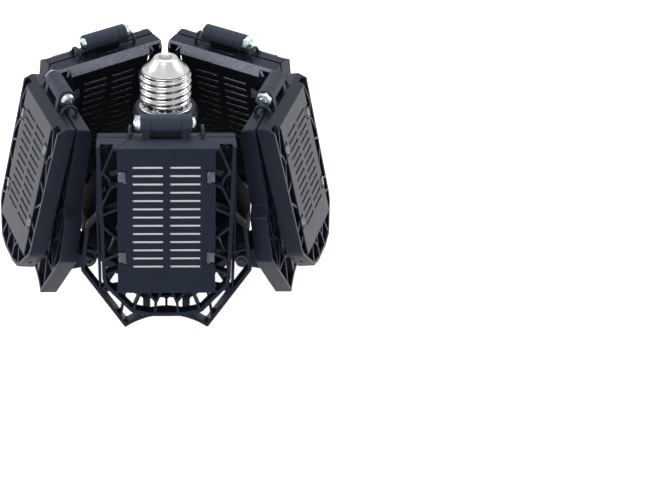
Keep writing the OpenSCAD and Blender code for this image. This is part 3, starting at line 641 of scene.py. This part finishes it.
def copied_node(node, name):
    """A merged copy of a CAD node's mesh."""
    obj = again(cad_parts[node], name, Matrix())
    edit(obj)
    bpy.ops.mesh.select_all(action="SELECT")
    bpy.ops.mesh.remove_doubles(threshold=FINE_WELD * MM)
    return close(obj)


def lower_housing():
    """Copy of the bowl with its flat faces whole again and its edges softened."""
    obj = copied_node("lower_housing", "lower_housing")
    edit(obj)
    bpy.ops.mesh.select_all(action="SELECT")
    bpy.ops.mesh.dissolve_limited(angle_limit=FLAT)
    close(obj)
    bevelled(obj, EDGE_BREAK, fold=BOWL_FOLD)
    return smooth(wear(obj, housing_abs))


on_housing(lower_housing(), "lower_housing")


# Leaves

# Round corners of the cells between the ribs, and softened edges of the ribs
CELL_R, CELL_SEGMENTS, RIB_EDGE, RIB_SEGMENTS = 0.9, 4, 0.15, 2
# A cell corner is at least SHORT long and has ROOM beside it, of which it takes ROOM_SHARE.
SHORT, ROOM, ROOM_SHARE, SLIGHT_FOLD = 2, 1.2, 0.36, 0.1
# Room above the sloping band, and how much large faces count in the shading of a leaf
BAND_CLEAR, LEAF_NORMAL_WEIGHT = 0.5, 50


def bevel_weighed(obj, width, segments, share_of):
    """Bevels each edge by its share of the width, from 0 to 1."""
    mesh = bmesh.new()
    mesh.from_mesh(obj.data)
    layers = mesh.edges.layers.float
    weight = layers.get("bevel_weight_edge") or layers.new("bevel_weight_edge")
    for edge in mesh.edges:
        edge[weight] = share_of(edge)
    mesh.to_mesh(obj.data)
    mesh.free()
    return finish_with(obj, "BEVEL", width=width * MM, segments=segments,
                       limit_method="WEIGHT", use_clamp_overlap=False, loop_slide=False)


def recess(side):
    """Oval that an ejector leaves in the slanted wall at the foot of an outer leaf."""
    tool = rod("recess", 1, 2 * RECESS_DEEP, sides=24)
    tool.data.transform(
        OUTER @ Matrix.Translation(Vector((side * RECESS_T, -LEAF_T / 2, -RECESS_V)) * MM)
        @ Matrix.Rotation(side * RECESS_TURN, 4, "Y") @ Matrix.Diagonal(RECESS_OVAL))
    return tool


def moulded_leaf(node, name, lean):
    """Copy of a leaf's frame with round cell corners and softened edges, as a tool leaves them."""
    obj = copied_node(node, name)
    if lean == OUTER_LEAN:
        for side in (-1, 1):
            cut(obj, recess(side))
    from_lamp = leaf_frame(lean).inverted()
    turn = from_lamp.to_3x3()
    band = Vector((0, INNER_SLOPE[1], LEAF_T - INNER_SLOPE[0])).normalized()

    def along_normal(edge):
        line = turn @ (edge.verts[1].co - edge.verts[0].co)
        return abs(line.y) / max(line.length, FINE_WELD * MM)

    def corner_share(edge):
        if (edge.calc_face_angle(0) < FOLD or edge.calc_length() < SHORT * MM
                or along_normal(edge) < ALONG):
            return 0.0
        room = min(other.calc_length() for end in edge.verts for other in end.link_edges
                   if other != edge and other.calc_face_angle(0) > SLIGHT_FOLD)
        return min(1.0, ROOM_SHARE * room / MM) if room > ROOM * MM else 0.0

    def edge_share(edge):
        return float(edge.calc_face_angle(0) > EDGE_FOLD and along_normal(edge) < ACROSS)

    def is_barrel(face):
        return (from_lamp @ face.calc_center_median()).yz.length < BARREL_R * MM

    # Faces of the sloping band, which take the painted glints of its coarse texture
    def is_band(face):
        drop = -(from_lamp @ face.calc_center_median()).z / MM
        return (lean == INNER_LEAN and (turn @ face.normal).dot(band) > ALONG
                and LEAF_TOP - BAND_CLEAR < drop < BAND_LOW)

    # Faces of an inner leaf that look in towards the bulb, which take the painted shade between the leaves
    def is_shaded_bulb_side(face):
        return lean == INNER_LEAN and (turn @ face.normal).y > ALONG

    bevel_weighed(obj, CELL_R, CELL_SEGMENTS, corner_share)
    bevel_weighed(obj, RIB_EDGE, RIB_SEGMENTS, edge_share)
    wear(obj, moulded_abs, barrel_abs, coarse_glint_abs, painted_shade_abs)
    for index, test in ((3, is_shaded_bulb_side), (1, is_barrel), (2, is_band)):
        mesh = edit(obj)
        pick(obj, mesh, mesh.faces, test)
        paint_picked(index)
        close(obj)
    smooth(obj, sharp_from=40)
    return finish_with(obj, "WEIGHTED_NORMAL", mode="FACE_AREA", weight=LEAF_NORMAL_WEIGHT,
                       keep_sharp=True)


for kind, lean in (("outer", OUTER_LEAN), ("inner", INNER_LEAN)):
    round_the_lamp(moulded_leaf(f"{kind}_frame_1", f"{kind}_frame", lean),
                   f"{kind}_frame", f"{kind}_leaf")


# Lights and lenses

# A light chip's lip, the rise of its top, and the wall, corners, slope and depth of its well
CHIP_LIP, CHIP_RISE, CHIP_MIDDLE = 0.12, 0.05, 0.1
WELL_WALL, WELL_CORNER, WELL_EDGE, WELL_DEEP = 0.35, 0.5, 0.08, 0.12


def light_chip():
    """Low white body with a rounded well of phosphor, lying at the origin and facing +Z."""
    obj = box("light_chip", (-CHIP_W / 2, -CHIP_L / 2, 0), (CHIP_W / 2, CHIP_L / 2, CHIP_H))
    wear(obj, chip_body, phosphor)
    mesh = edit(obj)
    pick(obj, mesh, mesh.faces, lambda face: face.normal.z > ROUGHLY)
    bpy.ops.mesh.inset(thickness=CHIP_LIP * MM, depth=0)
    bpy.ops.transform.translate(value=(0, 0, CHIP_RISE * MM))
    bpy.ops.mesh.inset(thickness=WELL_WALL * MM, depth=0)
    bpy.ops.mesh.bevel(affect="VERTICES", offset=WELL_CORNER * MM, segments=2)
    mesh = bmesh.from_edit_mesh(obj.data)
    reach = max(face.calc_center_median().z for face in mesh.faces)
    pick(obj, mesh, mesh.faces, lambda face: (
        face.calc_center_median().z > reach - SAME * MM and face.normal.z > ROUGHLY
        and face.calc_center_median().xy.length < CHIP_MIDDLE * MM))
    bpy.ops.mesh.inset(thickness=WELL_EDGE * MM, depth=-WELL_DEEP * MM)
    paint_picked(1)
    return close(obj)


CHIP = light_chip()


def leaf_board(name, slope):
    """White board with notches for the clips and rows of light chips, in the leaf's own frame."""
    top, low = LEAF_TOP + slope[1] + PLATE_T + BOARD_ROOM, LENS_TOP + LENS_H
    plate = box(name, (-LENS_HALF, -BOARD_N - BOARD_T, -low), (LENS_HALF, -BOARD_N, -top))
    for share in WINDOW_SHARES:
        for side in (-1, 1):
            start = LENS_TOP + share * LENS_H
            ends = sorted((side * WINDOW_IN, side * (LENS_HALF + OVERRUN)))
            cut(plate, box("notch", (ends[0], -BOARD_N - BOARD_T - OVERRUN, -start - WINDOW_H),
                           (ends[1], -BOARD_N + OVERRUN, -start)))
    bevelled(plate, FINE_BREAK, 1)
    wear(plate, solder_mask, phosphor)
    facing = Matrix.Rotation(-math.pi / 2, 4, "X")
    chips = []
    for col in range(CHIP_COLS):
        for row in range(CHIP_ROWS):
            t = (2 * (col + 0.5) / CHIP_COLS - 1) * (WINDOW_IN - CHIP_W / 2)
            v = top + (row + 0.5) / CHIP_ROWS * (low - top)
            spot = Matrix.Translation(Vector((t, -BOARD_N, -v)) * MM)
            chips.append(again(CHIP, "chip", spot @ facing))
    return smooth(joined(name, [plate] + chips))


# Round corners and front edges of the lenses, the foot and back of the slope's room, and how
# far a wall's normal may lean to the front
LENS_CORNER, LENS_CORNER_SEGMENTS, LENS_EDGE, LENS_EDGE_SEGMENTS = 1.6, 5, 0.6, 3
LENS_CLEAR, SLOPE_FOOT, SLOPE_BACK, WALL_LEAN = 0.05, 2, 1.2, 0.8


def lens_shell(name, slope):
    """Clear open box with round corners, cut back where the frame's slope comes in."""
    front, low = FACE_GAP + LENS_CLEAR, LENS_TOP + LENS_H
    shell = box(name, (-LENS_HALF, -BOARD_N, -low), (LENS_HALF, -front, -LENS_TOP))
    mesh = edit(shell, "EDGE")
    pick(shell, mesh, mesh.edges, lambda edge: (
        abs((edge.verts[0].co - edge.verts[1].co).normalized().y) > ROUGHLY))
    bpy.ops.mesh.bevel(offset=LENS_CORNER * MM, segments=LENS_CORNER_SEGMENTS)
    mesh = bmesh.from_edit_mesh(shell.data)
    pick(shell, mesh, mesh.edges, lambda edge: (
        all(abs(v.co.y + front * MM) < SAME * MM for v in edge.verts)))
    bpy.ops.mesh.bevel(offset=LENS_EDGE * MM, segments=LENS_EDGE_SEGMENTS)
    close(shell)
    mesh = edit(shell)
    pick(shell, mesh, mesh.faces, lambda face: face.normal.y < -ROUGHLY)
    bpy.ops.mesh.delete(type="FACE")
    close(shell)
    finish_with(shell, "SOLIDIFY", thickness=LENS_T * MM, offset=-1, use_even_offset=True)
    tidy(shell)
    step, top = slope[0] - PLATE_T, LEAF_TOP + slope[1] + PLATE_T + BOARD_ROOM
    side = -LENS_HALF - OVERRUN
    cut(shell, prism("slope room", [
        (side, -LEAF_T, -LEAF_TOP), (side, -LEAF_T, -top - SLOPE_BACK),
        (side, -BOARD_N - BOARD_T, -top), (side, -step, -LEAF_TOP - SLOPE_FOOT),
        (side, -step, -LEAF_TOP)], (-2 * side, 0, 0)))
    wear(shell, clear_lens, fluted_lens)
    mesh = edit(shell)
    pick(shell, mesh, mesh.faces, lambda face: abs(face.normal.y) < WALL_LEAN)
    paint_picked(1)
    return close(shell)


# Flutes on the lower wall of a leaf's lens, with their gaps to the board and to the lens's face
FLUTE_W, FLUTE_H, FLUTE_FOOT, FLUTE_PITCH, FLUTES = 0.6, 0.4, 0.05, 0.5, 73
FLUTE_BACK, FLUTE_FRONT = 0.1, 0.2
# Pyramids in rows on its side walls, the first at that n and that far below the lens's top
PYRAMID_R, PYRAMID_H, PYRAMID_RISE = 0.6, 0.45, 0.17
PYRAMID_ROWS, PYRAMID_ROW_PITCH, PYRAMIDS, PYRAMID_PITCH = 3, 1.35, 44, 1.45
PYRAMID_N, PYRAMID_V = 1.9, 3.6


def lens_flutes():
    """The flutes and pyramids that scatter the light at the walls of a leaf's lens."""
    low, wall = LENS_TOP + LENS_H, LENS_HALF - LENS_T
    back, front = -BOARD_N + FLUTE_BACK, -FACE_GAP - LENS_CLEAR - LENS_T - FLUTE_FRONT
    flute = prism("flute", [(-FLUTE_W / 2, back, FLUTE_FOOT), (FLUTE_W / 2, back, FLUTE_FOOT),
                            (0, back, -FLUTE_H)], (0, front - back, 0))
    parts = []
    for i in range(FLUTES):
        place = Vector(((i - FLUTES // 2) * FLUTE_PITCH, 0, -low + LENS_T)) * MM
        parts.append(again(flute, "flute",
                           Matrix.Translation(place) @ Matrix.Rotation(math.pi, 4, "Y")))
    bpy.data.objects.remove(flute)
    pyramid = cone("pyramid", PYRAMID_R, 0, PYRAMID_H, PYRAMID_RISE, sides=4)
    for side in (-1, 1):
        for row in range(PYRAMID_ROWS):
            for i in range(PYRAMIDS):
                place = Vector((side * wall, -PYRAMID_N - row * PYRAMID_ROW_PITCH,
                                -LENS_TOP - PYRAMID_V - i * PYRAMID_PITCH)) * MM
                parts.append(again(pyramid, "pyramid", Matrix.Translation(place)
                                   @ Matrix.Rotation(-side * math.pi / 2, 4, "Y")))
    bpy.data.objects.remove(pyramid)
    return [wear(part, fluted_lens) for part in parts]


# Snap hooks: how far they stand behind the leaf, and the barbs' length and room
HOOK_OUT, HOOK_EDGE, BARB_IN, BARB_ROOM = 0.4, 0.2, 0.35, 0.4


def lens_hooks():
    """Four legs with barbs that snap into the windows of the back plate."""
    hooks = []
    for share in WINDOW_SHARES:
        v = LENS_TOP + share * LENS_H + (WINDOW_H - CLIP_H) / 2
        for side in (-1, 1):
            leg = sorted((side * (LENS_HALF - CLIP_T), side * LENS_HALF))
            barb = sorted((side * (LENS_HALF - CLIP_T), side * (PLATE_HALF - BARB_ROOM)))
            hooks.append(box("clip leg", (leg[0], -LEAF_T - HOOK_OUT, -v - CLIP_H),
                             (leg[1], -BOARD_N + LENS_T, -v), HOOK_EDGE))
            hooks.append(box("clip barb", (barb[0], -LEAF_T - HOOK_OUT, -v - CLIP_H),
                             (barb[1], -LEAF_T + BARB_IN, -v), HOOK_EDGE))
    return [wear(hook, hook_lens) for hook in hooks]


def leaf_lens(name, slope):
    """Clear box with fluted walls and four snap hooks, in the leaf's own frame."""
    return smooth(joined(name, [lens_shell(name, slope)] + lens_flutes() + lens_hooks()))


for kind, slope, place, flipped in (("outer", OUTER_SLOPE, OUTER, False),
                                    ("inner", INNER_SLOPE, INNER, True)):
    round_the_lamp(to_leaf(leaf_board("leaf board", slope), place, flipped),
                   kind + "_led_board", kind + "_leaf")
    round_the_lamp(to_leaf(leaf_lens("leaf lens", slope), place, flipped),
                   kind + "_lens", kind + "_leaf")


# Hinge hardware

# A bolt's thread, its tip beyond the nut, and where the first root and crest lie
THREAD_DEEP, BOLT_PITCH, BOLT_TURNS, TIP_OUT, TIP_IN = 0.25, 0.7, 5, 0.4, 0.3
ROOT_AT, CREST_AT = 0.25, 0.6
# Pan head as (in from its side, up from its seat), cross recess, and chamfer of the nut
HEAD_OUTLINE = ((0.25, 0), (0, 0.25), (0.05, 0.8), (0.5, 1.4), (1.4, 1.85), (2.2, HEAD_H))
CROSS_L, CROSS_W, CROSS_DEEP = 3.4, 0.8, 1.2
CHAMFER_IN, CHAMFER_OUT, CHAMFER_H = 0.1, 2.4, 1.5
# What of the nut lies above its chamfer, its bore, and where a shank's painted shade starts
KEEP_R, KEEP_H, KEEP_MIDDLE, NUT_PLAY, NUT_BORE_L = 6, 4, 3.4, 0.03, 9
SHANK_SHADE_SHARE = 0.9


def cross_recess(half_l, half_w, low, high):
    """The two crossed slots of a screw head, as tools that stand on the axis."""
    slots = []
    for turn in (0, 90):
        slot = box("cross recess", (-half_l, -half_w, low), (half_l, half_w, high))
        slot.data.transform(Matrix.Rotation(math.radians(turn), 4, "Z"))
        slots.append(slot)
    return slots


def bolt_nut(grip):
    """Hexagon nut with its outer corners chamfered, below the grip."""
    low, middle = -grip / 2 - NUT_H, (-grip - NUT_H) / 2
    nut = rod("nut", NUT_W / 2 / math.cos(math.pi / 6), NUT_H, middle, sides=6)
    chamfer = cone("chamfer", NUT_W / 2 - CHAMFER_IN, NUT_W / 2 + CHAMFER_OUT, CHAMFER_H,
                   low + CHAMFER_H / 2)
    keep = rod("keep", KEEP_R, KEEP_H, low + KEEP_MIDDLE)
    finish_with(chamfer, "BOOLEAN", operation="UNION", solver="EXACT", object=keep)
    bpy.data.objects.remove(keep)
    finish_with(nut, "BOOLEAN", operation="INTERSECT", solver="EXACT", object=chamfer)
    bpy.data.objects.remove(chamfer)
    cut(nut, rod("nut bore", BOLT_R + NUT_PLAY, NUT_BORE_L, middle, sides=40))
    return bevelled(nut, FINE_BREAK, 1)


def hinge_bolt(grip, finish):
    """Pan head with a cross recess, threaded end and chamfered nut, along +X from nut to head."""
    start, end = -grip / 2 - NUT_H - TIP_OUT, grip / 2
    root = BOLT_R - THREAD_DEEP
    threads = []
    for i in range(BOLT_TURNS):
        threads += [(root, start + ROOT_AT + i * BOLT_PITCH),
                    (BOLT_R, start + CREST_AT + i * BOLT_PITCH)]
    head = [(HEAD_R - inward, end + up) for inward, up in HEAD_OUTLINE]
    shank = turned("bolt", [(0, start), (root - TIP_IN, start)] + threads + [(BOLT_R, end)]
                   + head + [(0, end + HEAD_H)], steps=40)
    for slot in cross_recess(CROSS_L / 2, CROSS_W / 2, end + HEAD_H - CROSS_DEEP,
                             end + HEAD_H + OVERRUN):
        cut(shank, slot)
    # Within the grip the shank takes the painted shade of the seams between the barrels.
    wear(shank, finish, shank_shade_steel)
    mesh = edit(shank)
    pick(shank, mesh, mesh.faces, lambda face: (
        abs(face.calc_center_median().z) < grip / 2 * MM
        and face.calc_center_median().xy.length > SHANK_SHADE_SHARE * root * MM))
    paint_picked(1)
    close(shank)
    bolt = joined("bolt", [shank, wear(bolt_nut(grip), finish)])
    bolt.data.transform(Matrix.Rotation(math.pi / 2, 4, "Y"))
    return smooth(bolt, sharp_from=30)


leaf_bolt = hinge_bolt(LEAF_GRIP, zinc_plate)
round_the_lamp(to_leaf(leaf_bolt, OUTER), "leaf_bolt", "outer_leaf")
arm_bolt = hinge_bolt(ARM_GRIP, black_oxide)
arm_bolt.data.transform(Matrix.Translation(Vector((0, -PIVOT_R, -PIVOT_DROP)) * MM))
round_the_lamp(arm_bolt, "arm_bolt", "inner_leaf")


# Height of the wires' bosses, and the gap under the outer leaf's end of a wire
BOSS_H, WIRE_GAP = 0.6, 0.4


def jumper_loop():
    """One wire from the inner leaf's boss up over the hinge to the outer leaf's, on +t."""
    deselect()
    foot = LEAF_TOP - BOSS_H
    bpy.ops.mesh.primitive_circle_add(vertices=16, radius=WIRE_R * MM, fill_type="NGON",
                                      location=Vector((WIRE_T, WIRE_IN, -foot)) * MM)
    obj = named("jumper loop")
    edit(obj)
    bpy.ops.mesh.select_all(action="SELECT")
    bpy.ops.mesh.extrude_region_move(
        TRANSFORM_OT_translate={"value": Vector((0, 0, foot - WIRE_TOP)) * MM})
    middle = Vector((WIRE_T, (WIRE_IN - WIRE_OUT) / 2, -WIRE_TOP)) * MM
    bpy.ops.mesh.spin(steps=16, angle=-math.pi, center=middle, axis=(1, 0, 0))
    bpy.ops.mesh.extrude_region_move(
        TRANSFORM_OT_translate={"value": Vector((0, 0, WIRE_TOP - foot + WIRE_GAP)) * MM})
    close(obj)
    return smooth(tidy(obj), sharp_from=50)


loop = jumper_loop()
other_loop = again(loop, "other loop", Matrix.Scale(-1, 4, (1, 0, 0)))
loops = tidy(joined("jumper loops", [loop, other_loop]))
wires = round_the_lamp(wear(to_leaf(loops, INNER), wire_pvc), "jumper_wires", None)
for k, piece in enumerate(wires):
    turn = Matrix.Rotation(k * TURN, 4, "Z") @ INNER
    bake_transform(piece, f"inner_leaf_{k + 1}", f"outer_leaf_{k + 1}",
             start=turn @ (Vector((0, WIRE_IN, -WIRE_TOP)) * MM),
             end=turn @ (Vector((0, -WIRE_OUT, -WIRE_TOP)) * MM))


# Middle light

# Rings of light chips on the middle board, as (share of its radius, chips), and its edge
CHIP_RINGS = ((0.42, 8), (0.86, 18))
BOARD_BREAK = 0.15


def centre_board():
    """Round white board with two rings of light chips, facing down."""
    low, high = SEAT_Z - BOARD_T, SEAT_Z
    plate = turned("centre_board", [
        (0, low), (CENTRE_BOARD_R - BOARD_BREAK, low), (CENTRE_BOARD_R, low + BOARD_BREAK),
        (CENTRE_BOARD_R, high), (0, high)])
    wear(plate, solder_mask, phosphor)
    parts = [plate]
    for share, count in CHIP_RINGS:
        for i in range(count):
            spin = Matrix.Rotation(i * math.tau / count, 4, "Z")
            place = Matrix.Translation(Vector((share * CENTRE_BOARD_R, 0, low)) * MM)
            parts.append(again(CHIP, "chip", spin @ place @ Matrix.Rotation(math.pi, 4, "X")))
    return smooth(joined("centre_board", parts))


on_housing(centre_board(), "centre_led_board")


# Board screws: radius, length, head as (radius, below the board), recess and place
SCREWS, SCREW_SHARE, SCREW_R, SCREW_L = 3, 0.64, 1.4, 6
SCREW_HEAD = ((2.7, 0), (2.7, 0.5), (2.3, 1.2), (1.4, 1.6))
SLOT_L, SLOT_W, SLOT_TOP, SLOT_END = 2.8, 0.6, 0.8, 2.5


def board_screws():
    """Three pan-head screws with a cross recess, heads down."""
    low = SEAT_Z - BOARD_T
    head = [(radius, low - down) for radius, down in SCREW_HEAD]
    parts = []
    for i in range(SCREWS):
        screw = turned("board screw", [
            (0, low + SCREW_L), (SCREW_R, low + SCREW_L), (SCREW_R, low)]
            + head + [(0, head[-1][1])], steps=32)
        for slot in cross_recess(SLOT_L / 2, SLOT_W / 2, low - SLOT_END, low - SLOT_TOP):
            cut(screw, slot)
        screw.data.transform(Matrix.Rotation(i * math.tau / SCREWS, 4, "Z")
                             @ Matrix.Translation((SCREW_SHARE * CENTRE_BOARD_R * MM, 0, 0)))
        parts.append(screw)
    return smooth(wear(joined("board_screw_set", parts), black_oxide))


on_housing(board_screws(), "board_screws")


# Middle lens: room round it, bevelled edge as (in from its side, up from its face), where its
# wall starts, and three rings of prisms as (radius, turn as a share of their pitch)
LENS_ROOM, WALL_FROM = 0.2, 25.5
CUP_EDGE = ((1.0, 0), (0.3, 0.3), (0, 1.0))
CUP_INSIDE = ((LENS_T, 2.0), (LENS_T + 0.8, LENS_T))
PRISM_R, PRISM_H, PRISM_RISE, PRISMS = 0.62, 0.6, 0.28, 80
PRISM_RINGS = ((23.9, 0), (25.3, 0.5), (26.6, 0))


def centre_lens():
    """Clear cup with a bevelled rim and three rings of small prisms inside its face."""
    edge = LENS_HOLE_R - LENS_ROOM
    cup = turned("centre_cup", [(0, FACE_Z)]
                 + [(edge - inward, FACE_Z + up) for inward, up in CUP_EDGE]
                 + [(edge, SEAT_Z), (edge - LENS_T, SEAT_Z)]
                 + [(edge - inward, FACE_Z + up) for inward, up in CUP_INSIDE]
                 + [(0, FACE_Z + LENS_T)])
    wear(cup, clear_lens, fluted_lens)
    mesh = edit(cup)
    pick(cup, mesh, mesh.faces, lambda face: (
        face.calc_center_median().xy.length > WALL_FROM * MM))
    paint_picked(1)
    close(cup)
    prism_dot = cone("prism dot", PRISM_R, 0, PRISM_H, FACE_Z + LENS_T + PRISM_RISE, sides=6)
    parts = [cup]
    for radius, shift in PRISM_RINGS:
        for i in range(PRISMS):
            spin = Matrix.Rotation((i + shift) * math.tau / PRISMS, 4, "Z")
            dot = again(prism_dot, "dot", spin @ Matrix.Translation((radius * MM, 0, 0)))
            parts.append(wear(dot, fluted_lens))
    bpy.data.objects.remove(prism_dot)
    return smooth(joined("centre_cup", parts))


on_housing(centre_lens(), "centre_lens")
bpy.data.objects.remove(CHIP)


# Carried-over nodes

for node_name, material in (
        ("cap_insulator", phenolic), ("heat_spreader", cast_aluminium),
        ("driver_board", driver_green), ("supply_wires", supply_pvc)):
    wear(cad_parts[node_name], material)


# Studio

# Size, gloss and glow of the floor, and the room's strength on the lamp and to the camera's eye
FLOOR_SIZE, FLOOR_ROUGH, FLOOR_GLOW = 6, 0.9, 0.5
ROOM_LIGHT, ROOM_WHITE = 0.33, 1.0
# Softboxes, as their name, place in metres, size and power
SOFTBOXES = (("key softbox", (-0.35, -1.0, 0.5), 0.6, 7.5),
             ("left softbox", (-1.0, 0.1, 0.35), 0.6, 6.0),
             ("right softbox", (1.0, 0.1, 0.35), 0.6, 6.0),
             ("top softbox", (0.0, 0.35, 1.0), 0.7, 9.0))
LAMP_MIDDLE = Vector((0, 0, -0.06))


def direct_rays(tree):
    """1 for what the camera sees itself, or in metal or through glass, and 0 for the light."""
    paths = add(tree, "ShaderNodeLightPath").outputs
    seen = add(tree, "ShaderNodeMath", [(0, paths["Is Camera Ray"])], operation="MAXIMUM")
    tree.links.new(paths["Is Glossy Ray"], seen.inputs[1])
    seen_too = add(tree, "ShaderNodeMath", [(0, seen.outputs[0])], operation="MAXIMUM")
    tree.links.new(paths["Is Transmission Ray"], seen_too.inputs[1])
    return seen_too.outputs[0]


def studio():
    """Pale floor, white room and four softboxes."""
    deselect()
    bpy.ops.mesh.primitive_plane_add(size=FLOOR_SIZE, location=(0, 0, FLOOR_Z * MM))
    floor = named("floor")
    material, tree, shader = new_material("pale paper")[:3]
    shader.inputs["Base Color"].default_value = linear("#f4f4f4")
    shader.inputs["Roughness"].default_value = FLOOR_ROUGH
    shader.inputs["Emission Color"].default_value = linear("#ffffff")
    glow = add(tree, "ShaderNodeMapRange", [("Value", direct_rays(tree))])
    glow.inputs["To Min"].default_value = 0.0
    glow.inputs["To Max"].default_value = FLOOR_GLOW
    tree.links.new(glow.outputs[0], shader.inputs["Emission Strength"])
    wear(floor, material)

    world = bpy.data.worlds.new("white studio")
    bpy.context.scene.world = world
    world.use_nodes = True
    tree = world.node_tree
    level = add(tree, "ShaderNodeMapRange", [("Value", direct_rays(tree))])
    level.inputs["To Min"].default_value = ROOM_LIGHT
    level.inputs["To Max"].default_value = ROOM_WHITE
    ground = tree.nodes["Background"]
    ground.inputs["Color"].default_value = (1, 1, 1, 1)
    tree.links.new(level.outputs[0], ground.inputs["Strength"])

    for name, place, size, power in SOFTBOXES:
        deselect()
        bpy.ops.object.light_add(type="AREA", location=place)
        lamp = bpy.context.object
        lamp.name = name
        lamp.data.shape = "SQUARE"
        lamp.data.size = size
        lamp.data.energy = power
        aim = LAMP_MIDDLE - Vector(place)
        lamp.rotation_euler = aim.to_track_quat("-Z", "Y").to_euler()


# The photograph's view: its height and turn, the distance and the point looked at in metres, the
# focal length and the photograph's width in pixels, and the lamp's place in the frame
CAMERA_UP, CAMERA_TURN, CAMERA_AWAY = math.radians(28.88), math.radians(-0.35), 0.89
CAMERA_TARGET = Vector((0, 0, -0.0675))
FOCAL_PIXELS, PHOTO_WIDTH, SENSOR = 1717.7, 648, 36
SHIFT_X, SHIFT_Y = 0.2446, -0.105
CLIP_NEAR, CLIP_FAR = 0.01, 20


def camera():
    """The photograph's view, worked out from the lamp's own proportions in it."""
    back = Vector((math.sin(CAMERA_TURN) * math.cos(CAMERA_UP),
                   -math.cos(CAMERA_TURN) * math.cos(CAMERA_UP), math.sin(CAMERA_UP)))
    deselect()
    bpy.ops.object.camera_add(location=CAMERA_TARGET + CAMERA_AWAY * back)
    eye = bpy.context.object
    eye.name = "photo camera"
    eye.rotation_euler = (-back).to_track_quat("-Z", "Y").to_euler()
    eye.data.sensor_width = SENSOR
    eye.data.lens = FOCAL_PIXELS / PHOTO_WIDTH * SENSOR
    eye.data.shift_x = SHIFT_X
    eye.data.shift_y = SHIFT_Y
    eye.data.clip_start, eye.data.clip_end = CLIP_NEAR, CLIP_FAR
    bpy.context.scene.camera = eye


studio()
camera()
bpy.context.scene.view_settings.view_transform = "Standard"
